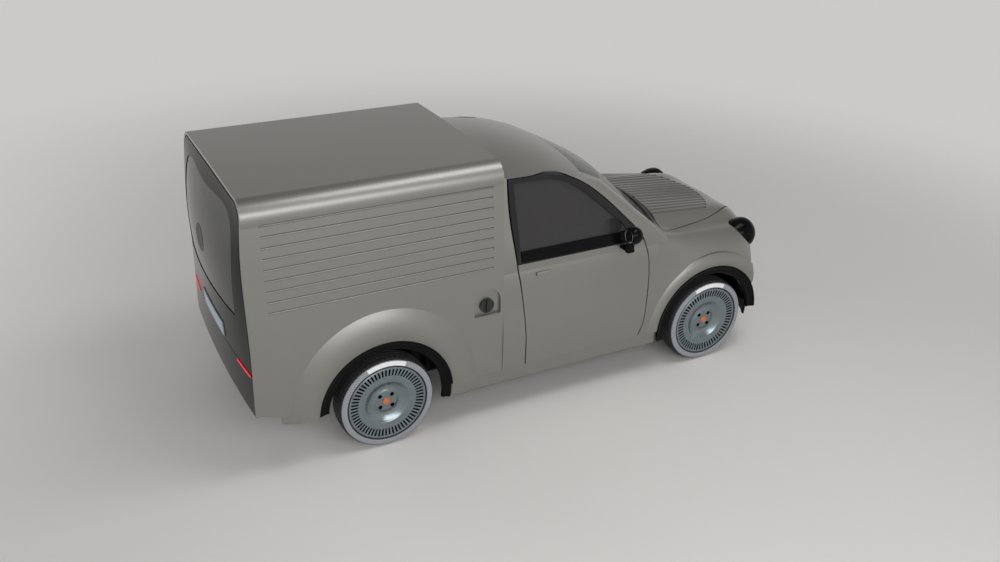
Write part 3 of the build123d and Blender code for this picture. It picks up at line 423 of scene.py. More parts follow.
def rubber_finish(name, axle_x):
    """Tyre rubber with a pale serrated sidewall band and one plain white segment at the top."""
    finish = Finish(name)
    colour = bpy.context.scene.van_finishes.band
    x, y, z, radius = round_axle(finish, axle_x)
    turn = finish.add("ShaderNodeMath", {"operation": "ARCTAN2"}, [x, z])
    outer = (abs(y) > abs(wheel_y) + tyre_half * 0.6) * 1.0
    band = (radius > band_inner) * (radius < band_outer) * outer
    teeth = (turn * 150.0 + radius * 260.0).math("SINE") > -0.1
    fleck = finish.noise(420.0, 3.0)
    serrated = finish.mix(teeth * 0.75 + fleck * 0.25, rgb(colour, 0.55), rgb(colour, 1.15))
    white = (abs(turn) < 0.45) * (radius > white_inner) * (radius < white_outer)
    segment = finish.mix(white, serrated, (0.86, 0.87, 0.88))
    grime = finish.noise(38.0, 4.0)
    rubber = finish.mix(grime, (0.012, 0.012, 0.013), (0.03, 0.029, 0.028))
    return finish.surface(
        finish.mix(band, rubber, segment), grime * 0.15 + 0.62,
        finish.bump(band * teeth * (1 - white) * 0.8 + fleck * 0.12, 0.5, 0.001)
    )


def alloy_finish(name, axle_x):
    """Wheel metal, turned in fine rings."""
    finish = Finish(name)
    alloy = bpy.context.scene.van_finishes.alloy
    radius = round_axle(finish, axle_x)[3]
    rings = (radius * 5200.0).math("SINE") * 0.5 + 0.5
    dust = finish.noise(14.0, 4.0)
    # darker towards the hub, in patches where the noise is high
    hub_darkening = (1 - (radius * 6.0 - 0.55)) * dust * 0.25
    clean = finish.mix(dust, rgb(alloy, 0.93), rgb(alloy, 1.07))
    return finish.surface(
        finish.mix(hub_darkening, clean, rgb(alloy, 0.45)), dust * 0.08 + 0.24,
        finish.bump(rings, 0.04, 0.0002), {"Metallic": 0.95}
    )


def cloth_finish(name, colour):
    """Woven seat cloth with a soft nap."""
    finish = Finish(name)
    x, y, z = finish.split(finish.place())
    threads = 2400.0
    weave = (y * threads).math("SINE") * ((x + z) * threads).math("SINE") * 0.5 + 0.5
    return finish.surface(
        finish.mix(weave * 0.7 + finish.noise(30.0, 4.0) * 0.3, rgb(colour, 0.65), rgb(colour, 1.3)),
        0.85, finish.bump(weave, 0.35, 0.0008), {"Sheen Weight": 0.3, "Sheen Roughness": 0.5}
    )


def glow_finish(name):
    """The lamp's pale light ring."""
    finish = Finish(name)
    cells = finish.noise(300.0, 1.0)
    glow = finish.mix(cells, (0.5, 0.55, 0.62), (0.75, 0.8, 0.88))
    return finish.surface(
        (0.8, 0.82, 0.85, 1.0), cells * 0.1 + 0.2, None, {"Emission Color": glow, "Emission Strength": 0.5}
    )


finishes = {}


def finish_named(name):
    """A finish made by the finishes operator."""
    if name not in finishes:
        raise RuntimeError(f"no finish named {name}")
    return finishes[name]


# ---- modelling

upright = Matrix.Rotation(math.pi / 2, 4, "X")


def leave_edit():
    """Goes back to object mode."""
    if bpy.context.mode != "OBJECT":
        bpy.ops.object.mode_set(mode="OBJECT")


def select_all():
    """Selects all of the piece that is open for editing."""
    bpy.ops.mesh.select_all(action="SELECT")


def inset(thickness, depth=0.0):
    """Draws the picked faces in, and moves them out by depth."""
    bpy.ops.mesh.inset(thickness=thickness, depth=depth)


def begin(name, add, **settings):
    """Adds a primitive with its place in its mesh and opens it for editing."""
    leave_edit()
    bpy.ops.object.select_all(action="DESELECT")
    add(**settings)
    piece = bpy.context.active_object
    piece.name = name
    piece.data.name = name
    bpy.ops.object.transform_apply(location=True, rotation=True, scale=True)
    bpy.ops.object.mode_set(mode="EDIT")
    bpy.ops.mesh.select_mode(type="FACE")
    return piece


def draw_section(name, points):
    """A section drawn on from its first point, left open for editing."""
    piece = begin(name, bpy.ops.mesh.primitive_plane_add, size=0.01, location=points[0])
    bpy.ops.mesh.select_mode(type="VERT")
    select_all()
    bpy.ops.mesh.merge(type="CENTER")
    for here, there in zip(points, points[1:]):
        bpy.ops.mesh.extrude_region_move(TRANSFORM_OT_translate={"value": Vector(there) - Vector(here)})
    return piece


def spin(centre, steps):
    """Turns the section right round a crosswise axis and closes it."""
    select_all()
    bpy.ops.mesh.spin(steps=steps, angle=2 * math.pi, center=centre, axis=(0, 1, 0))
    select_all()
    bpy.ops.mesh.remove_doubles(threshold=0.00002)
    bpy.ops.mesh.normals_make_consistent(inside=False)
    bpy.ops.mesh.select_mode(type="FACE")


def faces_back(middle, normal):
    """A test for faces that look to the rear."""
    return normal.x < -0.9


def pick(piece, test):
    """Selects the faces whose middle and direction pass test."""
    mesh = bmesh.from_edit_mesh(piece.data)
    chosen = 0
    for face in mesh.faces:
        keep = test(face.calc_center_median(), face.normal)
        face.select_set(keep)
        chosen += keep
    mesh.select_flush_mode()
    bmesh.update_edit_mesh(piece.data)
    if not chosen:
        raise RuntimeError(f"{piece.name}: no face was picked")


def choose(piece):
    """Makes one piece the selected and active one."""
    bpy.ops.object.select_all(action="DESELECT")
    piece.select_set(True)
    bpy.context.view_layer.objects.active = piece


def close_up(piece, body, finish, smooth=40.0):
    """Leaves editing, applies the modifiers, gives the finish and fastens the piece to its body."""
    leave_edit()
    choose(piece)
    for modifier in list(piece.modifiers):
        bpy.ops.object.modifier_apply(modifier=modifier.name)
    bpy.ops.object.shade_smooth_by_angle(angle=math.radians(smooth))
    if finish:
        piece.data.materials.append(finish_named(finish))
    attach(piece, body)


def copy_piece(piece, name, move=(0, 0, 0), mirrored=False):
    """The same piece elsewhere, with its own mesh, and turned to the left side if mirrored."""
    other = piece.copy()
    other.data = piece.data.copy()
    other.name = name
    other.data.name = name
    bpy.context.scene.collection.objects.link(other)
    if mirrored:
        other.data.transform(Matrix.Scale(-1.0, 4, (0, 1, 0)))
        other.data.flip_normals()
    other.data.transform(Matrix.Translation(move))
    return other


def lay_on(piece, panels, direction, lift):
    """Moves each point along direction onto the panels, then back off them by lift."""
    leave_edit()
    way = Vector(direction).normalized()
    graph = bpy.context.evaluated_depsgraph_get()
    trees = [BVHTree.FromObject(nodes[name], graph) for name in panels]
    for vertex in piece.data.vertices:
        hits = [tree.ray_cast(vertex.co - way, way) for tree in trees]
        found = [(hit[3], hit[0]) for hit in hits if hit[0] is not None]
        if not found:
            raise RuntimeError(f"{piece.name}: a point misses {panels} at {vertex.co}")
        vertex.co = min(found)[1] - way * lift
    piece.data.update()


def modify(piece, kind, **settings):
    """A modifier with its settings."""
    modifier = piece.modifiers.new(kind.lower(), kind)
    for key, value in settings.items():
        setattr(modifier, key, value)
    return modifier


def thicken(piece, thickness, offset=-1.0):
    """A wall from a single skin."""
    modify(piece, "SOLIDIFY", thickness=thickness, offset=offset)


def soften(piece, width, segments=2):
    """Rounded edges."""
    modify(piece, "BEVEL", width=width, segments=segments, limit_method="ANGLE")


def grid(name, columns, rows):
    """A square grid, open for editing."""
    add = bpy.ops.mesh.primitive_grid_add
    return begin(name, add, x_subdivisions=columns, y_subdivisions=rows, size=1.0)


def rod(name, sides, radius, length, middle=(0, 0, 0), turn=(0, 0, 0)):
    """A round bar, open for editing."""
    add = bpy.ops.mesh.primitive_cylinder_add
    return begin(name, add, vertices=sides, radius=radius, depth=length, location=middle, rotation=turn)


def side_strip(name, low, high, panels, lift, thickness, columns=40, rows=2):
    """A strip laid on the right side between two X-Z corners."""
    piece = grid(name, columns, rows)
    select_all()
    bpy.ops.transform.resize(value=(high[0] - low[0], high[1] - low[1], 1.0))
    leave_edit()
    middle = ((low[0] + high[0]) / 2, -0.8, (low[1] + high[1]) / 2)
    piece.data.transform(Matrix.Translation(middle) @ upright)
    lay_on(piece, panels, (0, 1, 0), lift)
    thicken(piece, thickness, 0.0)
    return piece


# ---- stage and finishes


def area_light(name, place, target, size, power):
    """A soft box aimed at a point."""
    bpy.ops.object.light_add(type="AREA", location=place)
    light = bpy.context.active_object
    light.name = name
    light.data.shape = "RECTANGLE"
    light.data.size, light.data.size_y = size
    light.data.energy = power
    light.rotation_euler = (Vector(target) - Vector(place)).to_track_quat("-Z", "Y").to_euler()


class VAN_OT_stage(bpy.types.Operator):
    """Floor, room light, soft boxes and camera"""

    bl_idname = "van.stage"
    bl_label = "Studio"

    def execute(self, context):
        studio = context.scene.van_studio
        floor = begin("studio_floor", bpy.ops.mesh.primitive_plane_add, size=120.0)
        leave_edit()
        finish = Finish("studio_floor")
        tone = studio.floor_tone
        dull = (tone, tone * 0.985, tone * 0.96)
        bright = (tone * 1.03, tone * 1.015, tone * 0.99)
        mottled = finish.mix(finish.noise(0.8, 2.0), dull, bright)
        floor.data.materials.append(finish.surface(mottled, 0.75))
        finish.fade_out(backdrop, 2.7, 8.5)

        world = bpy.data.worlds.new("studio")
        context.scene.world = world
        world.use_nodes = True
        room = Nodes(world.node_tree)
        seen, through = room.rays("Camera", "Transmission")
        height = room.split(room.add("ShaderNodeTexCoord", output="Generated"))[2]
        limits = {"Value": height, "From Min": 0.15, "From Max": 0.75}
        limits.update({"To Min": studio.world_level * 1.3, "To Max": studio.world_level * 0.35})
        strength = room.add("ShaderNodeMapRange", None, limits)
        lit = room.add("ShaderNodeBackground", None, {"Color": (1.0, 1.0, 1.0, 1.0), "Strength": strength})
        plain = room.add("ShaderNodeBackground", None, {"Color": (*backdrop, 1.0), "Strength": 1.0})
        mixed = room.add("ShaderNodeMixShader", None, [seen.math("MAXIMUM", through), lit, plain])
        room.end("ShaderNodeOutputWorld", mixed)

        area_light("side_light", (-1.0, -7.0, 4.2), (0, 0, 0.8), (7.0, 2.4), studio.key_power)
        area_light("top_light", (1.5, -2.0, 6.5), (0.5, 0, 1.0), (4.0, 2.0), studio.top_power)
        area_light("rim_light", (-6.5, 5.0, 3.0), (0, 0, 1.0), (4.0, 2.0), studio.top_power)

        camera = bpy.data.objects.new("camera", bpy.data.cameras.new("camera"))
        context.scene.collection.objects.link(camera)
        right = Vector((0.88638, -0.46217, 0.02695))
        up = Vector((0.19102, 0.41814, 0.88807))
        ahead = Vector((0.42171, 0.78202, -0.45891))
        turn = Matrix((right, up, -ahead)).transposed().to_4x4()
        camera.matrix_world = Matrix.Translation((-2.9974, -5.7498, 3.9559)) @ turn
        camera.data.lens = 35.79
        camera.data.sensor_width = 36.0
        context.scene.camera = camera
        context.scene.view_settings.view_transform = "Standard"
        return {"FINISHED"}


class VAN_OT_finishes(bpy.types.Operator):
    """Finishes for the panels, glazing and running gear"""

    bl_idname = "van.finishes"
    bl_label = "Finishes"

    def execute(self, context):
        cap = context.scene.van_finishes.cap
        orange = (rgb(cap, 0.9), rgb(cap, 1.1))
        silver = ((0.5, 0.53, 0.56), (0.62, 0.64, 0.66))
        smoke = ((0.035, 0.045, 0.055), (0.055, 0.065, 0.08))
        lacquer, metal = {"Coat Weight": 0.3}, {"Metallic": 1.0}
        lens = {"IOR": 1.55, "Alpha": 0.55, "Coat Weight": 1.0}
        lining = (0.16, 0.155, 0.148)
        dark = (0.02, 0.02, 0.02)
        rubber_edge = (0.01, 0.01, 0.011)
        rows = (
            (paint_finish, "box_paint", lining, box_middle, outwards(-0.12, 0.8), groove_shade),
            (paint_finish, "cab_paint", rubber_edge, cab_middle, outwards(0.02, 1.0)),
            (paint_finish, "door_paint", rubber_edge, cab_middle, sideways, None, above_belt),
            (paint_finish, "handle_paint", rubber_edge, cab_middle, sideways),
            (paint_finish, "nose_paint", dark, nose_middle, outwards(0.02, 1.0), flute_shade),
            (gloss_black_finish, "gloss_black"),
            (grained_finish, "trim_black", (0.016, 0.016, 0.017), 0.45),
            (grained_finish, "rubber_seal", (0.009, 0.009, 0.01), 0.6, 1400.0, 0.15),
            (grained_finish, "dash_grain", (0.035, 0.034, 0.033), 0.55, 500.0, 0.35),
            (metal_finish, "floor_coat", (0.045, 0.044, 0.043), 0.7, 60.0, 0.15),
            (metal_finish, "cast_iron", (0.11, 0.11, 0.115), 0.55),
            (metal_finish, "coated_steel", (0.035, 0.035, 0.037), 0.5, 90.0, 0.4),
            (glass_finish, "window_tint", (0.038, 0.036, 0.037), 0.86),
            (glass_finish, "tail_tint", (0.01, 0.01, 0.011), 0.92),
            (glass_finish, "screen_tint", (0.035, 0.038, 0.04), 0.55),
            (lamp_bar_finish, "red_light_bar"),
            (plate_finish, "blank_plate"),
            (glow_finish, "light_ring"),
            (cloth_finish, "seat_cloth", (0.055, 0.054, 0.052)),
            (cloudy_finish, "cap_orange", (700.0, 2.0), orange, (0.1, 0.3), (0.05, 0.0003), lacquer),
            (cloudy_finish, "mirror_glass", (3.0, 2.0), silver, (0.02, 0.02), (0.02, 0.001), metal),
            (cloudy_finish, "smoked_lens", (20.0, 1.0), smoke, (0.03, 0.03), (0.03, 0.001), lens),
        )
        for make, name, *settings in rows:
            finishes[name] = make(name, *settings)
        worn_by = {
            "box_paint": "box_side_right box_side_left box_roof",
            "cab_paint": "cab_frame sills",
            "door_paint": "door_right door_left",
            "nose_paint": "wing_right wing_left bonnet nose_panel",
            "gloss_black": "tailgate rear_bumper headlamps mirror_right mirror_left arch_liners",
            "trim_black": "cowl grille bulkhead fuel_cap",
            "dash_grain": "dashboard steering_wheel",
            "floor_coat": "floor_pan",
            "coated_steel": "front_subframe rear_axle",
            "cast_iron": "knuckle_right knuckle_left engine_block",
            "window_tint": "door_glass_right door_glass_left",
            "tail_tint": "tailgate_glass",
            "screen_tint": "windscreen",
            "red_light_bar": "rear_lamps",
            "blank_plate": "number_plate",
        }
        for finish, names in worn_by.items():
            for name in names.split():
                piece = nodes[name]
                piece.data.materials.clear()
                piece.data.materials.append(finish_named(finish))
        return {"FINISHED"}


# ---- tyres and wheels

columns = 240
to_rear = rear_axle_x - front_axle_x
corners = {
    "front_right": (0.0, False),
    "front_left": (0.0, True),
    "rear_right": (to_rear, False),
    "rear_left": (to_rear, True),
}


def fit_at_corners(first, kind, make, finish):
    """Puts a front right piece at all corners in place of the plain solids, with a finish for each axle."""
    worn = [make(f"{finish}_front", front_axle_x), make(f"{finish}_rear", rear_axle_x)]
    for corner, (shift, mirrored) in corners.items():
        name = f"{kind}_{corner}_dressed"
        piece = first if corner == "front_right" else copy_piece(first, name, (shift, 0, 0), mirrored)
        piece.name = name
        piece.data.materials[0] = worn[1] if shift else worn[0]
        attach(piece, f"wheel_{corner}")
        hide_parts(f"{kind}_{corner}")


def turned_piece(name, rows, start_y, steps, axle_x=front_axle_x):
    """A ring or disc round an axle, from rows of radius and crosswise place."""
    piece = draw_section(name, [(axle_x + radius, start_y + across, axle_z) for radius, across in rows])
    spin((axle_x, start_y, axle_z), steps)
    return piece


def radius_at(point):
    """Distance of a point from the front axle."""
    return math.hypot(point.x - front_axle_x, point.z - axle_z)


def angle_at(point):
    """Turn of a point round the front axle, in columns."""
    return math.atan2(point.z - axle_z, point.x - front_axle_x) / (2 * math.pi) * columns


class VAN_OT_tyres(bpy.types.Operator):
    """Tyres with a raised sidewall band, ribs and cut blocks"""

    bl_idname = "van.tyres"
    bl_label = "Tyres"

    def execute(self, context):
        depth = context.scene.van_sizes.groove_depth
        half = tyre_half
        side = [
            (rim_radius + 0.0002, half - 0.012), (rim_radius + 0.005, half - 0.004),
            (0.2715, half - 0.0015), (0.2725, half - 0.003), (0.274, half - 0.0005),
            (0.29, half - 0.0003), (0.308, half - 0.0042), (0.31, half - 0.0065),
            (0.317, half - 0.0135), (0.3207, half - 0.023), (0.3224, half - 0.028),
        ]
        tread = []
        for groove in (-0.028, 0.0, 0.028):
            crown = tyre_radius - 0.0025 * (groove / 0.055) ** 2 - 0.0002
            for away, drop in ((-0.0042, 0.0), (-0.003, depth), (0.003, depth), (0.0042, 0.0)):
                tread.append((crown - drop, groove + away))
        rows = [(r, -w) for r, w in side] + tread + [(r, w) for r, w in reversed(side)]
        tyre = turned_piece("tyre_front_right_dressed", [*rows, rows[0]], wheel_y, columns)

        def block_edge(middle, normal):
            out = radius_at(middle)
            rib = (out > 0.3214) or (0.312 < out and abs(middle.y - wheel_y) < half - 0.008)
            flat = abs(normal.y) < 0.75
            return rib and flat and int(angle_at(middle) % 4) == 0

        pick(tyre, block_edge)
        inset(0.0022, -0.004)
        close_up(tyre, "wheel_front_right", None, 32.0)
        tyre.data.materials.append(None)
        fit_at_corners(tyre, "tyre", rubber_finish, "tyre_rubber")
        return {"FINISHED"}


class VAN_OT_wheels(bpy.types.Operator):
    """Dished discs with radial slots, stud recesses and centre caps"""

    bl_idname = "van.wheels"
    bl_label = "Wheels"

    def execute(self, context):
        sizes = context.scene.van_sizes
        hub_depth = 0.034
        bolt_circle, stud_radius = 0.057, 0.0135
        rows = [
            (0.0, hub_depth), (0.064, hub_depth), (0.071, hub_depth + 0.0012),
            (0.078, hub_depth + 0.0055), (0.086, hub_depth + 0.0092), (0.095, hub_depth + 0.0105),
            (0.105, hub_depth + 0.0088), (0.117, hub_depth + 0.0032), (0.13, 0.029), (0.14, 0.0222),
            (0.1465, 0.0172), (0.15, 0.0134), (0.153, 0.0122), (0.168, 0.0116), (0.194, 0.0108),
            (slot_inner, 0.0104), (slot_outer, 0.005), (0.2525, 0.0046), (0.2545, 0.0062),
            (0.2575, 0.005), (rim_radius - 0.001, 0.006), (rim_radius, 0.0085), (rim_radius, 0.156),
            (rim_radius - 0.012, 0.1565), (rim_radius - 0.016, 0.032), (0.12, 0.056),
            (0.07, 0.066), (0.064, 0.1095), (0.0225, 0.1095), (0.0225, 0.06), (0.0, 0.06),
        ]
        wheel = turned_piece("wheel_front_right_dressed", rows, face_y, columns)
        per_slot = columns / sizes.slots

        def slot_face(middle, normal):
            in_ring = slot_inner < radius_at(middle) < slot_outer
            return in_ring and normal.y < -0.5 and angle_at(middle) % per_slot < per_slot / 2

        pick(wheel, slot_face)
        inset(0.0007, -sizes.slot_depth)

        studs = rod("stud_cutters", 32, stud_radius, 0.03)
        leave_edit()
        studs.data.transform(upright)
        combined = bmesh.new()
        for turn in range(4):
            bolt = math.radians(45 + 90 * turn)
            across, up = bolt_circle * math.cos(bolt), bolt_circle * math.sin(bolt)
            mesh = studs.data.copy()
            mesh.transform(Matrix.Translation((front_axle_x + across, face_y + 0.038, axle_z + up)))
            combined.from_mesh(mesh)
        combined.to_mesh(studs.data)
        combined.free()
        modify(wheel, "BOOLEAN", operation="DIFFERENCE", solver="EXACT", object=studs)
        close_up(wheel, "wheel_front_right", None, 30.0)
        bpy.data.objects.remove(studs)
        wheel.data.materials.clear()
        wheel.data.materials.append(None)
        wheel.data.materials.append(finish_named("gloss_black"))
        for polygon in wheel.data.polygons:
            out = radius_at(polygon.center)
            sunk = polygon.center.y - face_y
            in_slot = slot_inner - 0.001 < out < slot_outer + 0.001 and 0.0145 < sunk < 0.026
            in_stud = 0.04 < out < 0.074 and hub_depth + 0.0006 < sunk < 0.056
            polygon.material_index = 1 if in_slot or in_stud else 0
        fit_at_corners(wheel, "wheel", alloy_finish, "alloy")

        cap_rows = [
            (0.0, 0.0), (0.012, 0.0), (0.0135, 0.0008), (0.015, 0.0), (0.0215, 0.0005),
            (0.024, 0.0025), (0.0245, 0.0077), (0.0, 0.0077),
        ]
        cap = turned_piece("cap_front_right", cap_rows, face_y + hub_depth - 0.0075, 64)
        close_up(cap, "wheel_front_right", "cap_orange", 30.0)
        for corner, (shift, mirrored) in corners.items():
            if corner != "front_right":
                other = copy_piece(cap, f"cap_{corner}", (shift, 0, 0), mirrored)
                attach(other, f"wheel_{corner}")
        return {"FINISHED"}


# ---- lamps, mirrors and outside trim

face_ahead = (0, math.pi / 2, 0)


def copy_left(piece):
    """The same piece on the left side."""
    return copy_piece(piece, piece.name.replace("right", "left"), mirrored=True)


class VAN_OT_lamps(bpy.types.Operator):
    """Headlamp lenses with a light ring and reflector"""

    bl_idname = "van.lamps"
    bl_label = "Headlamps"

    def execute(self, context):
        low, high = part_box("headlamps")
        full = (high.z - low.z) / 2
        middle = Vector((high.x, full - high.y, (low.z + high.z) / 2))
        lens_share, ring_share = 0.74, 0.66
        radius = lens_share * full
        bezel, ring = [
            begin(
                f"lamp_{name}_right", bpy.ops.mesh.primitive_torus_add, rotation=face_ahead,
                location=middle + Vector((forward, 0, 0)), major_radius=major, minor_radius=minor,
                major_segments=72, minor_segments=segments
            )
            for name, forward, major, minor, segments in (
                ("bezel", 0, radius - 0.005, 0.005, 12),
                ("ring", 0.002, radius * ring_share, 0.0035, 10),
            )
        ]
        lens = begin(
            "lamp_lens_right", bpy.ops.mesh.primitive_circle_add, vertices=12, radius=radius - 0.006,
            fill_type="NGON", location=middle + Vector((0.001, 0, 0)), rotation=face_ahead
        )
        select_all()
        bpy.ops.mesh.extrude_region_move(TRANSFORM_OT_translate={"value": (0.007, 0, 0)})
        inset(0.02, 0.01)
        inset(0.024, 0.004)
        select_all()
        bpy.ops.mesh.normals_make_consistent(inside=False)
        eye = begin(
            "lamp_eye_right", bpy.ops.mesh.primitive_uv_sphere_add, segments=40, ring_count=20,
            radius=0.024, location=middle + Vector((-0.016, 0, 0))
        )
        close_up(bezel, "body", "gloss_black", 60.0)
        close_up(ring, "body", "light_ring", 60.0)
        close_up(lens, "body", "smoked_lens", 5.0)
        close_up(eye, "body", "mirror_glass", 60.0)
        for piece in (bezel, ring, lens, eye):
            other = copy_left(piece)
            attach(other, "body")
        return {"FINISHED"}


class VAN_OT_side_trim(bpy.types.Operator):
    """Belt strips, quarter-window bars, door handles and mirror glass"""

    bl_idname = "van.side_trim"
    bl_label = "Side trim"

    def execute(self, context):
        height = context.scene.van_sizes.strip_height
        glass_low, glass_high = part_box("door_glass_right")
        glass = ["door_glass_right"]
        end_gap, quarter_length, bar_width = 0.036, 0.112, 0.012

        low = (glass_low.x + end_gap, glass_low.z + 0.008)
        high = (glass_high.x - end_gap, glass_low.z + height)
        strip = side_strip("belt_strip_right", low, high, glass, 0.0065, 0.011)
        soften(strip, 0.0012)
        close_up(strip, "door_right", "gloss_black")

        low = (glass_high.x - quarter_length, high[1] - 0.006)
        high = (low[0] + bar_width, 1.246)
        bar = side_strip("quarter_bar_right", low, high, glass, 0.0035, 0.006, 2, 8)
        soften(bar, 0.001)
        close_up(bar, "door_right", "rubber_seal")

        low, high = (-0.03, 1.0), (0.075, 1.024)
        handle = side_strip("door_handle_right", low, high, ["door_right"], 0.005, 0.01, 16, 4)
        soften(handle, 0.004, 4)
        close_up(handle, "door_right", "handle_paint")

        pod_low, pod_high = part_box("mirror_right")
        pod_radius = 0.062
        middle = (pod_low.x - 0.0015, pod_low.y + pod_radius, pod_high.z - pod_radius)
        mirror = rod("mirror_glass_right", 64, 0.046, 0.004, middle, face_ahead)
        pick(mirror, faces_back)
        inset(0.003)
        inset(0.001, -0.001)
        close_up(mirror, "door_right", "mirror_glass", 30.0)

        for piece in (strip, bar, handle, mirror):
            other = copy_left(piece)
            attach(other, "door_left")
        return {"FINISHED"}


class VAN_OT_arch_lips(bpy.types.Operator):
    """Rounded gloss lips inside the wheel arches, down to the sills"""

    bl_idname = "van.arch_lips"
    bl_label = "Arch lips"

    def execute(self, context):
        outer_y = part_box("arch_liners")[0].y + 0.002
        rows = [
            (0.3852, 0.03), (0.3852, 0.019), (0.3885, 0.013), (0.394, 0.0098), (0.4, 0.0092),
            (0.406, 0.0102), (0.412, 0.0118), (0.44, 0.0006), (0.44, 0.024), (0.3852, 0.03),
        ]
        bumper_end, sill_end, reach = 0.258, 0.356, 0.4
        for name, axle_x, rear_end, front_end in (
            ("front", front_axle_x, bumper_end, sill_end),
            ("rear", rear_axle_x, sill_end, bumper_end),
        ):
            lip = turned_piece(f"arch_lip_{name}_right", rows, outer_y, 180, axle_x)
            select_all()
            bpy.ops.mesh.bisect(
                plane_co=(axle_x - reach, 0, rear_end),
                plane_no=((rear_end - front_end) / (2 * reach), 0, 1), clear_inner=True, use_fill=True
            )
            select_all()
            bpy.ops.mesh.normals_make_consistent(inside=False)
            close_up(lip, "body", "gloss_black")
            other = copy_left(lip)
            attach(other, "body")
        return {"FINISHED"}


def wiper_part(name, columns, middle, lean, length, width):
    """A thin upright strip ahead of the screen, turned by lean from level."""
    part = grid(name, columns, 2)
    leave_edit()
    part.data.transform(
        Matrix.Translation(middle)
        @ Matrix.Rotation(lean, 4, "X")
        @ Matrix.Rotation(math.pi / 2, 4, "Z")
        @ upright
        @ Matrix.Diagonal((length, width, 1.0, 1.0))
    )
    return part


def park(part, panels, lift, thickness, finish):
    """Lays a wiper part back onto the panels and finishes it."""
    lay_on(part, panels, (-1, 0, 0), lift)
    thicken(part, thickness, 0.0)
    soften(part, 0.002)
    close_up(part, "body", finish)


class VAN_OT_wipers(bpy.types.Operator):
    """Two wipers parked along the foot of the windscreen"""

    bl_idname = "van.wipers"
    bl_label = "Wipers"

    def execute(self, context):
        length = context.scene.van_sizes.blade_length
        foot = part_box("windscreen")[0].z
        start_x = 1.6
        blade_z = foot + 0.04
        for side, start in (("right", -0.6), ("left", 0.02)):
            middle = (start_x, start + length / 2, blade_z)
            blade = wiper_part(f"wiper_blade_{side}", 32, middle, 0, length, 0.016)
            park(blade, ["windscreen"], 0.012, 0.008, "rubber_seal")

            pivot = Vector((start_x, start + length + 0.02, foot - 0.014))
            hold = Vector((start_x, start + length * 0.45, blade_z))
            run = hold - pivot
            lean = math.atan2(run.z, run.y)
            arm = wiper_part(f"wiper_arm_{side}", 24, (pivot + hold) / 2, lean, run.length, 0.014)
            for vertex in arm.data.vertices:
                share = (vertex.co - hold).length / run.length
                vertex.co.z += (vertex.co.z - (hold.z + (pivot.z - hold.z) * min(1.0, share))) * share * 0.8
            park(arm, ["windscreen", "cowl"], 0.021, 0.007, "trim_black")
        return {"FINISHED"}


class VAN_OT_rear_trim(bpy.types.Operator):
    """The bare round badge place on the tailgate"""

    bl_idname = "van.rear_trim"
    bl_label = "Rear trim"

    def execute(self, context):
        circle = bpy.ops.mesh.primitive_circle_add
        place = begin("badge_place", circle, vertices=72, radius=0.088, fill_type="NGON")
        inset(0.006)
        inset(0.003, -0.0008)
        for _ in range(4):
            inset(0.018)
        leave_edit()
        relief = [vertex.co.z for vertex in place.data.vertices]
        place.data.transform(Matrix.Translation((-2.4, 0, 1.34)) @ Matrix.Rotation(-math.pi / 2, 4, "Y"))
        lay_on(place, ["tailgate_glass"], (1, 0, 0), 0.0014)
        for vertex, height in zip(place.data.vertices, relief):
            vertex.co.x -= height
        thicken(place, 0.002)
        close_up(place, "tailgate", "trim_black", 30.0)
        return {"FINISHED"}


# ---- cabin


def block(name, size, middle=(0, 0, 0)):
    """A block, open for editing."""
    return begin(name, bpy.ops.mesh.primitive_cube_add, size=1.0, scale=size, location=middle)


def swell(pad, pressure, cap):
    """Blows a pad up a little, no point further than cap."""
    choose(pad)
    rest = [vertex.co.copy() for vertex in pad.data.vertices]
    cloth = modify(pad, "CLOTH")
    cloth.settings.use_pressure = True
    cloth.settings.uniform_pressure_force = pressure
    cloth.settings.effector_weights.gravity = 0.0
    scene = bpy.context.scene
    for step in range(1, 21):
        scene.frame_set(step)
    bpy.ops.object.modifier_apply(modifier=cloth.name)
    scene.frame_set(1)
    for vertex, start in zip(pad.data.vertices, rest):
        shift = vertex.co - start
        if shift.length > cap:
            vertex.co = start + shift * (cap / shift.length)


def seat_pad(name, middle, size, lean, bulge):
    """One upholstered pad: a block with rounded ends, remeshed, swollen and given its sewn channels."""
    pad = block(name, size)
    select_all()
    bpy.ops.mesh.bevel(offset=min(size) * 0.36, segments=4, affect="EDGES")
    leave_edit()
    remesh = modify(pad, "REMESH", mode="VOXEL", voxel_size=0.008)
    bpy.ops.object.modifier_apply(modifier=remesh.name)
    swell(pad, 4.0, bulge)
    channels = (-0.22, 0.22)
    for vertex in pad.data.vertices:
        across = vertex.co.y / size[1]
        seam = max(math.exp(-(((across - line) / 0.018) ** 2)) for line in channels)
        edge = max(abs(vertex.co.x) / size[0], abs(across))
        vertex.co.z *= 1.0 - seam * 0.16 * (1.0 if edge < 0.5 else 0.4)
    modify(pad, "SUBSURF", levels=1, render_levels=1)
    pad.data.transform(Matrix.Translation(middle) @ Matrix.Rotation(lean, 4, "Y"))
    return pad


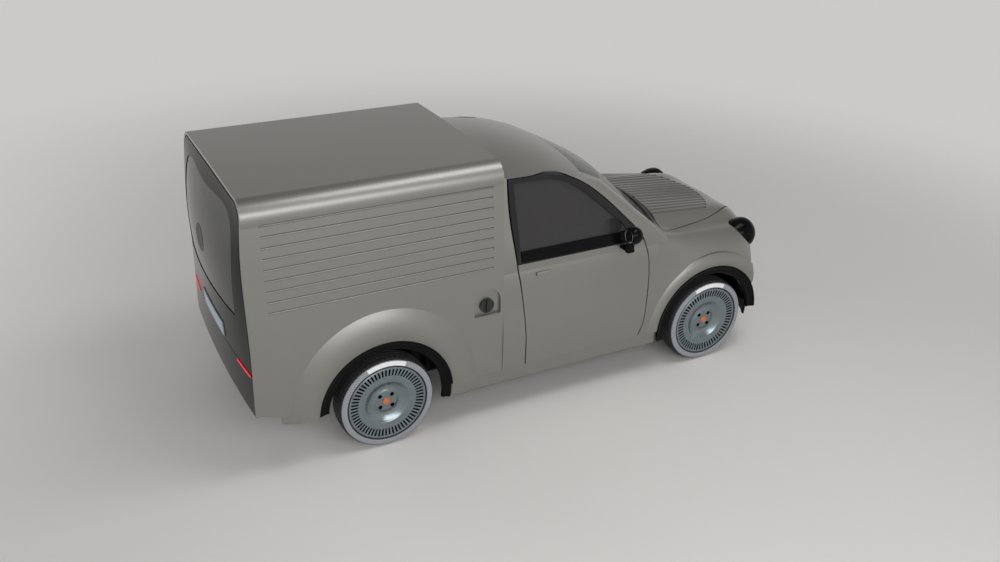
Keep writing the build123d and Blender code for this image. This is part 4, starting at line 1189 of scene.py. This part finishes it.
class VAN_OT_seats(bpy.types.Operator):
    """Two seats: padded cushion, back and headrest on a plain shell"""

    bl_idname = "van.seats"
    bl_label = "Seats"

    def execute(self, context):
        seat_y, stalk_gap = -0.33, 0.12
        parts = [
            seat_pad(f"seat_{part}_right", (x, seat_y, z), size, math.radians(lean), bulge)
            for part, x, z, size, lean, bulge in (
                ("cushion", 0.185, 0.52, (0.42, 0.45, 0.1), -4, 0.012),
                ("back", -0.09, 0.78, (0.5, 0.43, 0.085), -82, 0.012),
                ("headrest", -0.145, 1.118, (0.13, 0.25, 0.07), -84, 0.008),
            )
        ]
        shell_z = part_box("seats")[0].z + 0.085
        shell = block("seat_shell_right", (0.36, 0.4, 0.16), (0.18, seat_y, shell_z))
        pick(shell, lambda middle, normal: normal.z < -0.9)
        bpy.ops.transform.resize(value=(0.8, 0.85, 1.0))
        inset(0.02)
        soften(shell, 0.015, 3)
        close_up(shell, "body", "trim_black")
        middle = (-0.134, seat_y - stalk_gap / 2, 1.03)
        stalk = rod("headrest_stalks_right", 20, 0.006, 0.14, middle, (0, math.radians(-8), 0))
        select_all()
        bpy.ops.mesh.duplicate_move(TRANSFORM_OT_translate={"value": (0, stalk_gap, 0)})
        close_up(stalk, "body", "cast_iron")
        for pad in parts:
            close_up(pad, "body", "seat_cloth", 60.0)
        for piece in [*parts, shell, stalk]:
            other = copy_left(piece)
            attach(other, "body")
        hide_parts("seats")
        return {"FINISHED"}


class VAN_OT_cabin(bpy.types.Operator):
    """Instrument hood, air vents and centre screen on the dashboard"""

    bl_idname = "van.cabin"
    bl_label = "Cabin"

    def execute(self, context):
        low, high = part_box("dashboard")
        top = high.z + 0.02
        hood = block("instrument_hood", (0.12, 0.3, 0.07), (low.x + 0.1, 0.33, top))
        pick(hood, faces_back)
        inset(0.012, -0.03)
        pick(hood, lambda middle, normal: normal.x > 0.9)
        bpy.ops.transform.resize(value=(1.0, 0.8, 0.4))
        soften(hood, 0.01, 3)
        close_up(hood, "body", "dash_grain")
        screen = block("centre_screen", (0.012, 0.24, 0.14), (low.x + 0.006, 0.0, top))
        pick(screen, faces_back)
        inset(0.008, -0.001)
        soften(screen, 0.003)
        close_up(screen, "body", "gloss_black")
        vent = block("dash_vents", (0.016, 0.11, 0.045), (low.x - 0.002, -0.46, 0.88))
        pick(vent, faces_back)
        inset(0.004, -0.006)
        select_all()
        for gap in (0.34, 0.24):
            bpy.ops.mesh.duplicate_move(TRANSFORM_OT_translate={"value": (0, gap, 0)})
        soften(vent, 0.002)
        close_up(vent, "body", "trim_black")
        return {"FINISHED"}


# ---- panel and registration


class VAN_PT_panel(bpy.types.Panel):
    """The van's settings and pieces"""

    bl_idname = "VAN_PT_panel"
    bl_label = "Panel Van"
    bl_space_type = "VIEW_3D"
    bl_region_type = "UI"
    bl_category = "Panel Van"

    def draw(self, context):
        for group in (context.scene.van_finishes, context.scene.van_sizes, context.scene.van_studio):
            box = self.layout.box()
            for name in group.bl_rna.properties.keys():
                if name not in ("rna_type", "name"):
                    box.prop(group, name)
        for step in steps:
            self.layout.operator(step.bl_idname)


groups = {"van_finishes": VanFinishes, "van_sizes": VanSizes, "van_studio": VanStudio}
steps = [
    VAN_OT_stage,
    VAN_OT_finishes,
    VAN_OT_tyres,
    VAN_OT_wheels,
    VAN_OT_lamps,
    VAN_OT_side_trim,
    VAN_OT_arch_lips,
    VAN_OT_wipers,
    VAN_OT_rear_trim,
    VAN_OT_seats,
    VAN_OT_cabin,
]


def register():
    for made in [*groups.values(), *steps, VAN_PT_panel]:
        bpy.utils.register_class(made)
    for name, group in groups.items():
        setattr(bpy.types.Scene, name, PointerProperty(type=group))


def unregister():
    for name in groups:
        delattr(bpy.types.Scene, name)
    for made in reversed([*groups.values(), *steps, VAN_PT_panel]):
        bpy.utils.unregister_class(made)


def main():
    register()
    for step in steps:
        category, name = step.bl_idname.split(".")
        getattr(getattr(bpy.ops, category), name)()


if __name__ == "__main__":
    main()
